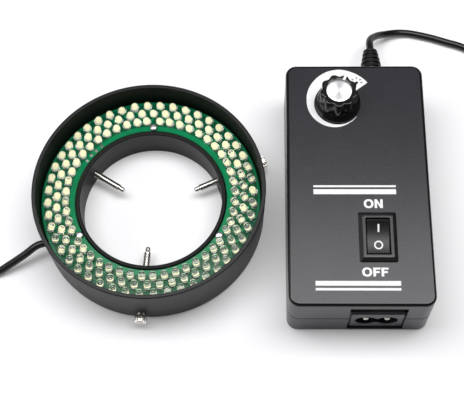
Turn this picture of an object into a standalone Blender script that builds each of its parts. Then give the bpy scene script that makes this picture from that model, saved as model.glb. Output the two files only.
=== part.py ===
# Microscope ring light with its dimmer box and the cord between them.
# The model is in metres with +Z up. Its origin is the centre of the control box's base.
# The ring stands beside the box on the same surface, with its lamps facing up.

import math

import bmesh
import bpy
from mathutils import Matrix, Vector

# Clearances that all the pieces share
SEAT_GAP = 0.0003
CUT_OVERRUN = 0.001
FUSE_DEPTH = 0.0002

# Ring housing: a channel with a tall outer wall, a closed back and a short inner tube
BORE_RADIUS = 0.02975
CHANNEL_WIDTH = 0.01825
RING_HEIGHT = 0.027
RING_WALL = 0.0017
RING_BACK = 0.002
RING_FOOT_ROUND = 0.0022
RING_DRAFT = 0.0008
RING_RIM_ROUND = 0.0003
RING_SIDES = 60
TUBE_WALL = 0.0015
TUBE_HEIGHT = 0.0154
RING_TO_BOX = 0.00845
RING_CENTRE_Y = -0.0015

# Board with its three circles of lamps
BOARD_TOP = 0.015
BOARD_THICKNESS = 0.0016
BOARD_EDGE_GAP = 0.0004
BOARD_FACET_TURN = math.radians(1)
LEDS_PER_CIRCLE = 48
LED_CIRCLES = 3
LED_CIRCLE_STEP_SHARE = 0.26
LED_RADIUS = 0.0015
LED_HEIGHT = 0.0053
LED_SIDES = 5
LED_DOME_RADIUS_SHARE = 0.55
LED_SPREAD_AT_SCREW = math.radians(0.9)

# Three screws that hold the board on bosses of the housing
BOARD_SCREW_COUNT = 3
BOARD_SCREW_ANGLE = math.radians(90)
BOARD_SCREW_INSET = 0.00195
BOARD_SCREW_HEAD_RADIUS = 0.00145
BOARD_SCREW_HEAD_HEIGHT = 0.001
BOARD_SCREW_RADIUS = 0.0008
BOARD_SCREW_LENGTH = 0.006
BOARD_BOSS_RADIUS = 0.0022

# Three knurled thumbscrews that clamp the ring on a microscope
RIGHT_THUMBSCREW_ANGLE = math.radians(24.4)
LEFT_THUMBSCREW_ANGLE = math.radians(148)
NEAR_THUMBSCREW_ANGLE = math.radians(266.3)
THUMBSCREW_ANGLES = (RIGHT_THUMBSCREW_ANGLE, LEFT_THUMBSCREW_ANGLE, NEAR_THUMBSCREW_ANGLE)
THUMBSCREW_AXIS_HEIGHT = 0.006
THUMBSCREW_RADIUS = 0.0015
THUMBSCREW_POINT_RADIUS = 0.00105
THUMBSCREW_POINT_LENGTH = 0.0022
THUMBSCREW_POINT_CONE = 0.0006
THUMBSCREW_COLLAR_RADIUS = 0.002
THUMBSCREW_COLLAR_LENGTH = 0.0005
THUMBSCREW_HEAD_RADIUS = 0.0025
THUMBSCREW_HEAD_LENGTH = 0.0028
THUMBSCREW_HEAD_ROUND = 0.0003
THUMBSCREW_KNURL_DEPTH = 0.0002
THUMBSCREW_KNURLS = 12
SHORT_THUMBSCREW = 0.0299
LONG_THUMBSCREW = 0.0335
THUMBSCREW_LENGTHS = (SHORT_THUMBSCREW, LONG_THUMBSCREW, SHORT_THUMBSCREW)
LOOSE_STANDOFF = 0.0013
TIGHT_STANDOFF = 0.0002
THUMBSCREW_STANDOFFS = (LOOSE_STANDOFF, TIGHT_STANDOFF, TIGHT_STANDOFF)
SCREW_BLOCK_WIDTH = 0.006
SCREW_BLOCK_HEIGHT = 0.0072

# Control box: two plastic shells that meet at a parting line
BOX_WIDTH = 0.0575
BOX_LENGTH = 0.107
BOX_HEIGHT = 0.0305
BOX_CORNER = 0.0045
BOX_CORNER_STEPS = 3
BOX_WALL = 0.002
BOX_TOP_PLATE = 0.002
BOX_FLOOR = 0.0016
BOX_EDGE_ROUND = 0.0008
BOX_FOOT_ROUND = 0.0005
PARTING_HEIGHT = 0.0144
LIP_HEIGHT = 0.0012
LIP_WALL = 0.0008

# Four screws that join the shells from below
CASE_BOSS_RADIUS = 0.0038
CASE_BOSS_TOP_RADIUS = 0.0028
CASE_BOSS_INTO_WALL = 0.0006
CASE_SCREW_RADIUS = 0.0013
CASE_SCREW_HEAD_RADIUS = 0.0025
CASE_SCREW_HEAD_FACE_SHARE = 0.7
CASE_SCREW_HEAD_HEIGHT = 0.0017
CASE_SCREW_LENGTH = 0.018
CASE_SCREW_SINK = 0.004

# Power board on four pinned posts, and what stands on it
POWER_BOARD_SIDE_GAP = 0.00225
POWER_BOARD_TO_INLET = 0.0035
POWER_BOARD_TO_BACK_WALL = 0.0085
POWER_BOARD_UNDERSIDE = 0.0056
POWER_BOARD_THICKNESS = 0.0016
POST_RADIUS = 0.0022
POST_PIN_RADIUS = 0.0009
POST_PIN_RISE = 0.001
POST_INSET = 0.0045
CORE_WIDTH = 0.020
CORE_DEPTH = 0.007
CORE_HEIGHT = 0.015
CORE_YOKE = 0.003
CORE_WINDOW_WIDTH = 0.0045
CORE_FROM_SIDE = 0.0145
CORE_FROM_FRONT = 0.029
INPUT_CAPACITOR_RADIUS = 0.005
INPUT_CAPACITOR_HEIGHT = 0.015
INPUT_CAPACITOR_FROM_SIDE = 0.006
INPUT_CAPACITOR_FROM_FRONT = 0.029
OUTPUT_CAPACITOR_RADIUS = 0.004
OUTPUT_CAPACITOR_HEIGHT = 0.0115
OUTPUT_CAPACITOR_FROM_SIDE = 0.015
OUTPUT_CAPACITOR_FROM_BACK = 0.021
CAPACITOR_GROOVE_DEPTH = 0.0004
CAPACITOR_GROOVE_HEIGHT = 0.0022
CAPACITOR_SIDES = 16
HEAT_SINK_FROM_SIDE = 0.001
HEAT_SINK_FROM_BACK = 0.007
HEAT_SINK_LENGTH = 0.018
HEAT_SINK_HEIGHT = 0.014
HEAT_SINK_BASE = 0.0015
HEAT_SINK_FIN = 0.001
HEAT_SINK_FIN_REACH = 0.0045
HEAT_SINK_FINS = 5

# Dimmer: a panel potentiometer with its nut, shaft and fluted knob
DIMMER_FROM_SIDE = 0.02135
DIMMER_FROM_BACK = 0.0185
POT_RADIUS = 0.008
POT_DEPTH = 0.0078
POT_BUSHING_RADIUS = 0.0035
POT_BUSHING_RISE = 0.0028
POT_SHAFT_RADIUS = 0.003
POT_SHAFT_NECK_RADIUS = 0.0025
POT_LUG_WIDTH = 0.0012
POT_LUG_THICKNESS = 0.0005
POT_LUG_LENGTH = 0.004
POT_LUG_PITCH = 0.005
POT_NUT_FLAT_RADIUS = 0.005
POT_NUT_HEIGHT = 0.0018
KNOB_GAP = 0.0006
KNOB_HEIGHT = 0.0106
KNOB_SKIRT_RADIUS = 0.0095
KNOB_SKIRT_EDGE = 0.0007
KNOB_CONE_RADIUS = 0.0077
KNOB_CONE_TOP = 0.0032
KNOB_GRIP_RADIUS = 0.0075
KNOB_GRIP_TOP_RADIUS = 0.0071
KNOB_SHOULDER = 0.0004
KNOB_SHOULDER_RADIUS = 0.0067
KNOB_FLUTE_DEPTH = 0.0008
KNOB_FLUTES = 9
KNOB_STEPS_PER_FLUTE = 4
KNOB_NUT_ROOM_RADIUS = 0.0066
KNOB_SHAFT_ENGAGEMENT = 0.0062
KNOB_POINTER_ANGLE = math.radians(67.5)
KNOB_CAP_RADIUS = 0.0049
KNOB_CAP_THICKNESS = 0.0007
KNOB_CAP_RISE = 0.0004
SET_SCREW_RADIUS = 0.0015
SET_SCREW_LENGTH = 0.003
SET_SCREW_TURN = math.radians(112)
SET_SCREW_HEIGHT = 0.0061

# Rocker switch with a 15 by 21 mm frame
SWITCH_FROM_FRONT = 0.0286
SWITCH_FRAME_WIDTH = 0.015
SWITCH_FRAME_LENGTH = 0.021
SWITCH_FRAME_HEIGHT = 0.0013
SWITCH_FRAME_CORNER = 0.0006
SWITCH_FRAME_ROUND = 0.0004
SWITCH_FLANGE = 0.0012
SWITCH_RIM = 0.0027
SWITCH_BODY_DEPTH = 0.0135
SWITCH_OPENING_DEPTH = 0.009
ROCKER_END_HEIGHT = 0.0025
ROCKER_MIDDLE_HEIGHT = 0.0014
ROCKER_DEPTH = 0.0035
ROCKER_HEEL_SHARE = 0.94
ROCKER_KEEL_SHARE = 0.55
ROCKER_PIVOT_BELOW_FRAME = 0.002
ROCKER_PIN_RADIUS = 0.001
ROCKER_PIN_REACH = 0.0008
ROCKER_TILT = math.radians(12)
TERMINAL_WIDTH = 0.0048
TERMINAL_THICKNESS = 0.0008
TERMINAL_LENGTH = 0.0065
TERMINAL_SEAT = 0.002
TERMINAL_FROM_END = 0.0023

# Mains inlet in a notch of the front wall
INLET_FROM_SIDE = 0.02185
INLET_WIDTH = 0.022
INLET_HEIGHT = 0.0154
INLET_DEPTH = 0.014
INLET_RECESS = 0.001
INLET_EDGE_ROUND = 0.0005
INLET_LOBE_RADIUS = 0.00425
INLET_PIN_PITCH = 0.0086
INLET_WAIST_ANGLE = math.radians(148)
INLET_LOBE_STEPS = 10
INLET_SOCKET_DEPTH = 0.010
INLET_PIN_RADIUS = 0.0012
INLET_PIN_SINK = 0.0013
INLET_PIN_TAIL = 0.0015
NOTCH_SIDE_GAP = 0.0003
NOTCH_LINTEL = 0.004

# Strain relief of the cord in the back wall
RELIEF_FROM_SIDE = 0.01955
RELIEF_NECK_RADIUS = 0.0034
RELIEF_HEAD_RADIUS = 0.005
RELIEF_HEAD_LENGTH = 0.002
RELIEF_FLANGE_RADIUS = 0.006
RELIEF_FLANGE_LENGTH = 0.0015
RELIEF_BASE_RADIUS = 0.0056
RELIEF_TIP_RADIUS = 0.0032
RELIEF_LENGTH = 0.0168
RELIEF_RIBS = 6
RELIEF_GROOVE_DEPTH = 0.0009
RELIEF_RIB_SHARES = (0.15, 0.4, 0.8)
RELIEF_TIP_LENGTH = 0.0016
RELIEF_SIDES = 14

# Cord between the ring and the box
CORD_RADIUS = 0.0016
CORD_HOLE_ANGLE = math.radians(201)
CORD_HOLE_HEIGHT = 0.008
CORD_HOLE_DEPTH = 0.001
CORD_POINT_SPACING = 0.0078
CORD_CURVE_STEPS = 20
COIL_CENTRE_X = 0.0865
COIL_CENTRE_Y = 0.0560
COIL_INNER_RADIUS = 0.0130
COIL_PITCH = 0.00375
COIL_TURNS = 5
COIL_POINTS_PER_TURN = 24
COIL_START_ANGLE = math.radians(212)

# Route of the stretch from the ring to the coil, laid on the table by hand
RING_ROUTE = (
    (-0.1374, -0.0229, 0.0067),
    (-0.1444, -0.0270, 0.0044),
    (-0.1497, -0.0295, 0.0025),
    (-0.1562, -0.0306, 0.0016),
    (-0.1636, -0.0276, 0.0016),
    (-0.1680, -0.0205, 0.0016),
    (-0.1692, -0.0100, 0.0016),
    (-0.1684, 0.0120, 0.0016),
    (-0.1672, 0.0420, 0.0016),
    (-0.1682, 0.0750, 0.0016),
    (-0.1682, 0.0960, 0.0016),
    (-0.1638, 0.1086, 0.0016),
    (-0.1545, 0.1160, 0.0016),
    (-0.1400, 0.1182, 0.0016),
    (-0.1000, 0.1174, 0.0016),
    (-0.0500, 0.1160, 0.0016),
    (0.0000, 0.1166, 0.0016),
    (0.0360, 0.1172, 0.0016),
    (0.0590, 0.1110, 0.0016),
    (0.0760, 0.0985, 0.0022),
    (0.0900, 0.0870, 0.0037),
)

# Route of the stretch from the strain relief to the coil
BOX_ROUTE = (
    (0.0096, 0.0772, 0.0118),
    (0.0123, 0.0815, 0.0083),
    (0.0178, 0.0853, 0.0042),
    (0.0257, 0.0874, 0.0019),
    (0.0350, 0.0859, 0.0016),
    (0.0450, 0.0827, 0.0016),
    (0.0534, 0.0796, 0.0016),
    (0.0588, 0.0760, 0.0016),
    (0.0617, 0.0700, 0.0016),
    (0.0620, 0.0620, 0.0016),
)

ROUND_SIDES = 20
SMALL_SIDES = 12
SMOOTH_LIMIT = math.radians(32)

ring_radius = BORE_RADIUS + CHANNEL_WIDTH
ring_centre = Vector((-BOX_WIDTH / 2 - RING_TO_BOX - ring_radius, RING_CENTRE_Y, 0))
tube_radius = BORE_RADIUS + TUBE_WALL
channel_radius = ring_radius - RING_WALL
foot_radius = ring_radius - RING_DRAFT
board_underside = BOARD_TOP - BOARD_THICKNESS
board_inner_radius = tube_radius + BOARD_EDGE_GAP
board_outer_radius = channel_radius - BOARD_EDGE_GAP
board_screw_circle = tube_radius + BOARD_SCREW_INSET
screw_hole_radius = THUMBSCREW_RADIUS + SEAT_GAP
top_underside = BOX_HEIGHT - BOX_TOP_PLATE
front = -BOX_LENGTH / 2
back = BOX_LENGTH / 2
side = BOX_WIDTH / 2
inlet_x = side - INLET_FROM_SIDE
relief_x = side - RELIEF_FROM_SIDE
inlet_bottom = BOX_FLOOR + SEAT_GAP
inlet_height = inlet_bottom + INLET_HEIGHT / 2
inlet_face = front + INLET_RECESS
frame_underside = BOX_HEIGHT + SEAT_GAP
frame_top = frame_underside + SWITCH_FRAME_HEIGHT
switch_place = Vector((inlet_x, front + SWITCH_FROM_FRONT, 0))
switch_body_width = SWITCH_FRAME_WIDTH - 2 * SWITCH_FLANGE
switch_body_length = SWITCH_FRAME_LENGTH - 2 * SWITCH_FLANGE
switch_opening_width = SWITCH_FRAME_WIDTH - 2 * SWITCH_RIM
switch_opening_length = SWITCH_FRAME_LENGTH - 2 * SWITCH_RIM
rocker_width = switch_opening_width - 2 * SEAT_GAP
rocker_reach = switch_opening_length / 2 - SEAT_GAP
rocker_half_length = math.sqrt(rocker_reach ** 2 - ROCKER_END_HEIGHT ** 2)
rocker_pivot = switch_place + Vector((0, 0, frame_top - ROCKER_PIVOT_BELOW_FRAME))
dimmer_place = Vector((DIMMER_FROM_SIDE - side, back - DIMMER_FROM_BACK, 0))
board_side = side - BOX_WALL - POWER_BOARD_SIDE_GAP
board_front = inlet_face + INLET_DEPTH + POWER_BOARD_TO_INLET
board_back = back - BOX_WALL - POWER_BOARD_TO_BACK_WALL
board_rest = POWER_BOARD_UNDERSIDE + POWER_BOARD_THICKNESS + SEAT_GAP
knob_underside = BOX_HEIGHT + KNOB_GAP
knob_top = knob_underside + KNOB_HEIGHT
cord_hole_direction = Vector((math.cos(CORD_HOLE_ANGLE), math.sin(CORD_HOLE_ANGLE), 0))


def clear_scene():
    for scene_object in list(bpy.data.objects):
        bpy.data.objects.remove(scene_object, do_unlink=True)


def material(name, colour, roughness, metallic=0.0):
    made = bpy.data.materials.new(name)
    made.use_nodes = True
    surface = made.node_tree.nodes["Principled BSDF"]
    surface.inputs["Base Color"].default_value = (*colour, 1.0)
    surface.inputs["Roughness"].default_value = roughness
    surface.inputs["Metallic"].default_value = metallic
    made.diffuse_color = (*colour, 1.0)
    return made


def circle(radius, sides, turn=0.0):
    """Points of a regular outline, counterclockwise."""
    angles = [turn + 2 * math.pi * step / sides for step in range(sides)]
    return [(radius * math.cos(angle), radius * math.sin(angle)) for angle in angles]


def rounded_rectangle(width, length, corner, steps=BOX_CORNER_STEPS):
    """Points of a rectangle with round corners, counterclockwise from the right side."""
    points = []
    for quarter, (side_x, side_y) in enumerate(((1, 1), (-1, 1), (-1, -1), (1, -1))):
        for step in range(steps + 1):
            angle = math.pi / 2 * (quarter + step / steps)
            x = side_x * (width / 2 - corner) + corner * math.cos(angle)
            y = side_y * (length / 2 - corner) + corner * math.sin(angle)
            points.append((x, y))
    return points


def add_loft(mesh, loops, closed=False):
    """Skin a stack of loops with equal counts, and cap both ends or join them."""
    rings = [[mesh.verts.new(point) for point in loop] for loop in loops]
    pairs = list(zip(rings, rings[1:]))
    if closed:
        pairs.append((rings[-1], rings[0]))
    for lower, upper in pairs:
        for index, corner in enumerate(lower):
            following = (index + 1) % len(lower)
            mesh.faces.new((corner, lower[following], upper[following], upper[index]))
    if not closed:
        mesh.faces.new(reversed(rings[0]))
        mesh.faces.new(rings[-1])


def add_prism(mesh, outline, low, high, place=Matrix.Identity(4)):
    """Extrude an outline of the XY plane from one height to another."""
    loops = [[place @ Vector((x, y, z)) for x, y in outline] for z in (low, high)]
    add_loft(mesh, loops)


def add_box(mesh, low, high, place=Matrix.Identity(4)):
    outline = ((low[0], low[1]), (high[0], low[1]), (high[0], high[1]), (low[0], high[1]))
    add_prism(mesh, outline, low[2], high[2], place)


def add_turned(mesh, profile, sides, place=Matrix.Identity(4), turn=0.0):
    """Turn a profile of (radius, height) points, bottom first, about the local Z axis."""
    loops = []
    for radius, height in profile:
        loops.append([place @ Vector((x, y, height)) for x, y in circle(radius, sides, turn)])
    add_loft(mesh, loops)


def add_channel(mesh, profile, sides, place=Matrix.Identity(4), turn=0.0):
    """Turn a closed profile that stays clear of the axis: the points run up the outside."""
    loops = []
    for radius, height in profile:
        loops.append([place @ Vector((x, y, height)) for x, y in circle(radius, sides, turn)])
    add_loft(mesh, loops, closed=True)


def along(direction, start=Vector((0, 0, 0))):
    """Place whose local Z axis points along a direction."""
    return Matrix.Translation(start) @ direction.to_track_quat("Z", "Y").to_matrix().to_4x4()


def radial(angle, distance=0.0, height=0.0, centre=ring_centre):
    """Place on a circle whose local X axis points outward and whose Z axis points up."""
    turn = Matrix.Rotation(angle, 4, "Z")
    return Matrix.Translation(centre) @ turn @ Matrix.Translation((distance, 0, height))


def new_mesh():
    return bmesh.new()


def finish(name, mesh, surface, origin=Vector((0, 0, 0))):
    """Make a bmesh into a named object whose origin lies at the given point."""
    bmesh.ops.translate(mesh, verts=mesh.verts, vec=-origin)
    data = bpy.data.meshes.new(name)
    mesh.to_mesh(data)
    mesh.free()
    data.shade_smooth()
    data.set_sharp_from_angle(angle=SMOOTH_LIMIT)
    made = bpy.data.objects.new(name, data)
    made.location = origin
    bpy.context.scene.collection.objects.link(made)
    if surface is not None:
        data.materials.append(surface)
    return made


def shape(target, name, tool_mesh, operation):
    """Cut a tool out of an object, or fuse it to the object, with a Boolean modifier."""
    tool = finish(name, tool_mesh, None)
    tool.hide_render = True
    tool.display_type = "WIRE"
    modifier = target.modifiers.new(name, "BOOLEAN")
    modifier.operation = operation
    modifier.object = tool


def cut(target, name, tool_mesh):
    shape(target, name, tool_mesh, "DIFFERENCE")


def fuse(target, name, tool_mesh):
    shape(target, name, tool_mesh, "UNION")


def spread_angles(first, count):
    return [first + 2 * math.pi * index / count for index in range(count)]


def make_ring_housing(surface):
    """Channel with the seats of the board screws, the thumbscrews and the cord."""
    mesh = new_mesh()
    profile = (
        (BORE_RADIUS, 0),
        (foot_radius - RING_FOOT_ROUND, 0),
        (foot_radius - RING_FOOT_ROUND / 2, RING_FOOT_ROUND / 7),
        (foot_radius - RING_FOOT_ROUND / 7, RING_FOOT_ROUND / 2),
        (foot_radius, RING_FOOT_ROUND),
        (ring_radius, RING_HEIGHT - RING_RIM_ROUND),
        (ring_radius - RING_RIM_ROUND, RING_HEIGHT),
        (channel_radius + RING_RIM_ROUND, RING_HEIGHT),
        (channel_radius, RING_HEIGHT - RING_RIM_ROUND),
        (channel_radius, board_underside - SEAT_GAP),
        (channel_radius - RING_DRAFT, RING_BACK),
        (tube_radius, RING_BACK),
        (tube_radius, TUBE_HEIGHT),
        (BORE_RADIUS, TUBE_HEIGHT),
    )
    add_channel(mesh, profile, RING_SIDES, Matrix.Translation(ring_centre))
    housing = finish("ring_housing", mesh, surface)

    seats = new_mesh()
    low = RING_BACK - FUSE_DEPTH
    for angle in spread_angles(BOARD_SCREW_ANGLE, BOARD_SCREW_COUNT):
        place = radial(angle, board_screw_circle)
        outline = circle(BOARD_BOSS_RADIUS, SMALL_SIDES)
        add_prism(seats, outline, low, board_underside - SEAT_GAP, place)
    block_low = (tube_radius - TUBE_WALL / 2, -SCREW_BLOCK_WIDTH / 2, low)
    block_high = (foot_radius - RING_WALL / 2, SCREW_BLOCK_WIDTH / 2, low + SCREW_BLOCK_HEIGHT)
    for angle in THUMBSCREW_ANGLES:
        add_box(seats, block_low, block_high, radial(angle))
    fuse(housing, "ring_seats", seats)

    holes = new_mesh()
    outline = circle(BOARD_SCREW_RADIUS + SEAT_GAP, SMALL_SIDES)
    low = board_underside - SEAT_GAP - BOARD_SCREW_LENGTH
    for angle in spread_angles(BOARD_SCREW_ANGLE, BOARD_SCREW_COUNT):
        add_prism(holes, outline, low, board_underside + CUT_OVERRUN, radial(angle, board_screw_circle))
    outward = Matrix.Rotation(math.pi / 2, 4, "Y")
    for angle in THUMBSCREW_ANGLES:
        place = radial(angle, 0, THUMBSCREW_AXIS_HEIGHT) @ outward
        outline = circle(screw_hole_radius, SMALL_SIDES)
        add_prism(holes, outline, BORE_RADIUS - CUT_OVERRUN, ring_radius + CUT_OVERRUN, place)
    place = radial(CORD_HOLE_ANGLE, 0, CORD_HOLE_HEIGHT) @ outward
    outline = circle(CORD_RADIUS + SEAT_GAP, SMALL_SIDES)
    add_prism(holes, outline, channel_radius - CUT_OVERRUN, ring_radius + CUT_OVERRUN, place)
    cut(housing, "ring_holes", holes)


def led_angles(circle_index):
    """Angles of one circle of lamps: the middle circle is staggered by half a pitch."""
    pitch = 2 * math.pi / LEDS_PER_CIRCLE
    stagger = 0.0 if circle_index % 2 else pitch / 2
    angles = []
    for index in range(LEDS_PER_CIRCLE):
        angle = stagger + pitch * index
        for screw_angle in spread_angles(BOARD_SCREW_ANGLE, BOARD_SCREW_COUNT):
            offset = (angle - screw_angle + math.pi) % (2 * math.pi) - math.pi
            if circle_index == 0 and abs(offset) < pitch:
                angle += math.copysign(LED_SPREAD_AT_SCREW, offset)
        angles.append(angle)
    return angles


def make_led_board(surface):
    """Ring-shaped board with its domed lamps, none of which stands on an edge between facets."""
    mesh = new_mesh()
    profile = (
        (board_inner_radius, board_underside),
        (board_outer_radius, board_underside),
        (board_outer_radius, BOARD_TOP),
        (board_inner_radius, BOARD_TOP),
    )
    add_channel(mesh, profile, RING_SIDES, Matrix.Translation(ring_centre), BOARD_FACET_TURN)
    board = finish("led_board", mesh, surface)

    lamps = new_mesh()
    lamp_profile = (
        (LED_RADIUS, BOARD_TOP - FUSE_DEPTH),
        (LED_RADIUS, BOARD_TOP + LED_HEIGHT - LED_RADIUS),
        (LED_RADIUS * LED_DOME_RADIUS_SHARE, BOARD_TOP + LED_HEIGHT),
    )
    middle = (board_inner_radius + board_outer_radius) / 2
    step = (board_outer_radius - board_inner_radius) * LED_CIRCLE_STEP_SHARE
    for circle_index in range(LED_CIRCLES):
        distance = middle + (circle_index - (LED_CIRCLES - 1) / 2) * step
        for angle in led_angles(circle_index):
            add_turned(lamps, lamp_profile, LED_SIDES, radial(angle, distance))
    fuse(board, "lamps", lamps)

    holes = new_mesh()
    outline = circle(BOARD_SCREW_RADIUS + SEAT_GAP, SMALL_SIDES)
    low = board_underside - CUT_OVERRUN
    for angle in spread_angles(BOARD_SCREW_ANGLE, BOARD_SCREW_COUNT):
        add_prism(holes, outline, low, BOARD_TOP + CUT_OVERRUN, radial(angle, board_screw_circle))
    cut(board, "board_holes", holes)


def make_board_screws(surface):
    head_low = BOARD_TOP + SEAT_GAP
    profile = (
        (BOARD_SCREW_RADIUS, head_low - BOARD_SCREW_LENGTH),
        (BOARD_SCREW_RADIUS, head_low),
        (BOARD_SCREW_HEAD_RADIUS, head_low),
        (BOARD_SCREW_HEAD_RADIUS, head_low + BOARD_SCREW_HEAD_HEIGHT / 2),
        (BOARD_SCREW_HEAD_RADIUS / 2, head_low + BOARD_SCREW_HEAD_HEIGHT),
    )
    for number, angle in enumerate(spread_angles(BOARD_SCREW_ANGLE, BOARD_SCREW_COUNT), 1):
        mesh = new_mesh()
        add_turned(mesh, profile, SMALL_SIDES, radial(angle, board_screw_circle))
        finish(f"board_screw_{number}", mesh, surface)


def knurled(radius, depth, ridges):
    """Outline of a straight knurl: every other point lies in a groove."""
    points = []
    for index, (x, y) in enumerate(circle(radius, 2 * ridges)):
        share = 1 - (index % 2) * depth / radius
        points.append((x * share, y * share))
    return points


def make_thumbscrew(name, angle, length, standoff, surface):
    """Screw along a radius of the ring, from its reduced point out to its knurled head."""
    start = ring_radius + standoff
    place = radial(angle, start, THUMBSCREW_AXIS_HEIGHT) @ Matrix.Rotation(math.pi / 2, 4, "Y")
    head = THUMBSCREW_COLLAR_LENGTH
    end = head + THUMBSCREW_HEAD_LENGTH
    inner_head = THUMBSCREW_HEAD_RADIUS - THUMBSCREW_HEAD_ROUND
    sides = 2 * THUMBSCREW_KNURLS
    stations = (
        (circle(THUMBSCREW_POINT_RADIUS - THUMBSCREW_POINT_CONE, sides), -length),
        (circle(THUMBSCREW_POINT_RADIUS, sides), THUMBSCREW_POINT_CONE - length),
        (circle(THUMBSCREW_POINT_RADIUS, sides), THUMBSCREW_POINT_LENGTH - length),
        (circle(THUMBSCREW_RADIUS, sides), THUMBSCREW_POINT_LENGTH + THUMBSCREW_POINT_CONE - length),
        (circle(THUMBSCREW_RADIUS, sides), 0),
        (circle(THUMBSCREW_COLLAR_RADIUS, sides), 0),
        (circle(THUMBSCREW_COLLAR_RADIUS, sides), head),
        (circle(inner_head, sides), head),
        (knurled(THUMBSCREW_HEAD_RADIUS, THUMBSCREW_KNURL_DEPTH, THUMBSCREW_KNURLS), head + THUMBSCREW_HEAD_ROUND),
        (knurled(THUMBSCREW_HEAD_RADIUS, THUMBSCREW_KNURL_DEPTH, THUMBSCREW_KNURLS), end - THUMBSCREW_HEAD_ROUND),
        (circle(inner_head, sides), end),
    )
    mesh = new_mesh()
    add_loft(mesh, [[place @ Vector((x, y, height)) for x, y in outline] for outline, height in stations])
    finish(name, mesh, surface, place.translation)


def box_outline(inset):
    width = BOX_WIDTH - 2 * inset
    length = BOX_LENGTH - 2 * inset
    return rounded_rectangle(width, length, BOX_CORNER - inset)


def at_height(outline, height):
    return [Vector((x, y, height)) for x, y in outline]


def shell_holes():
    """Cutter for what both shells leave open: the inlet's notch and the strain relief's hole."""
    mesh = new_mesh()
    half = INLET_WIDTH / 2 + NOTCH_SIDE_GAP
    low = (inlet_x - half, front - CUT_OVERRUN, BOX_FLOOR)
    high = (inlet_x + half, front + BOX_WALL + CUT_OVERRUN, BOX_HEIGHT - NOTCH_LINTEL)
    add_box(mesh, low, high)
    place = along(Vector((0, 1, 0)), Vector((relief_x, back - BOX_WALL - CUT_OVERRUN, PARTING_HEIGHT)))
    outline = circle(RELIEF_NECK_RADIUS + SEAT_GAP, ROUND_SIDES)
    add_prism(mesh, outline, 0, BOX_WALL + 2 * CUT_OVERRUN, place)
    return mesh


def case_screw_places():
    inset = BOX_WALL + CASE_BOSS_RADIUS - CASE_BOSS_INTO_WALL
    reach_x = BOX_WIDTH / 2 - inset
    reach_y = BOX_LENGTH / 2 - inset
    return [(x, y) for y in (-reach_y, reach_y) for x in (-reach_x, reach_x)]


def make_upper_case(surface):
    """Cover with the openings of the switch and the dimmer, and its four screw bosses."""
    edge = PARTING_HEIGHT + SEAT_GAP / 2
    mesh = new_mesh()
    loops = [at_height(box_outline(0), edge), at_height(box_outline(0), BOX_HEIGHT - BOX_EDGE_ROUND)]
    for angle in (math.radians(45), math.radians(90)):
        inset = BOX_EDGE_ROUND * (1 - math.cos(angle))
        height = BOX_HEIGHT - BOX_EDGE_ROUND * (1 - math.sin(angle))
        loops.append(at_height(box_outline(inset), height))
    add_loft(mesh, loops)
    case = finish("upper_case", mesh, surface)

    cavity = new_mesh()
    add_prism(cavity, box_outline(BOX_WALL), edge - CUT_OVERRUN, top_underside)
    cut(case, "upper_cavity", cavity)
    lip_room = new_mesh()
    add_prism(lip_room, box_outline(BOX_WALL - LIP_WALL - SEAT_GAP), edge - CUT_OVERRUN, edge + LIP_HEIGHT)
    cut(case, "lip_room", lip_room)

    bosses = new_mesh()
    for x, y in case_screw_places():
        place = Matrix.Translation((x, y, 0))
        add_prism(bosses, circle(CASE_BOSS_TOP_RADIUS, SMALL_SIDES), edge, top_underside + FUSE_DEPTH, place)
    fuse(case, "upper_bosses", bosses)

    holes = new_mesh()
    screw_hole = circle(CASE_SCREW_RADIUS + SEAT_GAP, SMALL_SIDES)
    screw_room = CASE_SCREW_SINK + CASE_SCREW_LENGTH + SEAT_GAP
    for x, y in case_screw_places():
        add_prism(holes, screw_hole, edge - CUT_OVERRUN, screw_room, Matrix.Translation((x, y, 0)))
    half_width = switch_body_width / 2 + SEAT_GAP
    half_length = switch_body_length / 2 + SEAT_GAP
    low = (-half_width, -half_length, top_underside - CUT_OVERRUN)
    high = (half_width, half_length, BOX_HEIGHT + CUT_OVERRUN)
    add_box(holes, low, high, Matrix.Translation(switch_place))
    place = Matrix.Translation(dimmer_place)
    outline = circle(POT_BUSHING_RADIUS + SEAT_GAP, ROUND_SIDES)
    add_prism(holes, outline, top_underside - CUT_OVERRUN, BOX_HEIGHT + CUT_OVERRUN, place)
    cut(case, "upper_holes", holes)
    cut(case, "upper_shell_holes", shell_holes())


def post_places():
    reach_x = board_side - POST_INSET
    rows = (board_front + POST_INSET, board_back - POST_INSET)
    return [(x, y) for y in rows for x in (-reach_x, reach_x)]


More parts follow.
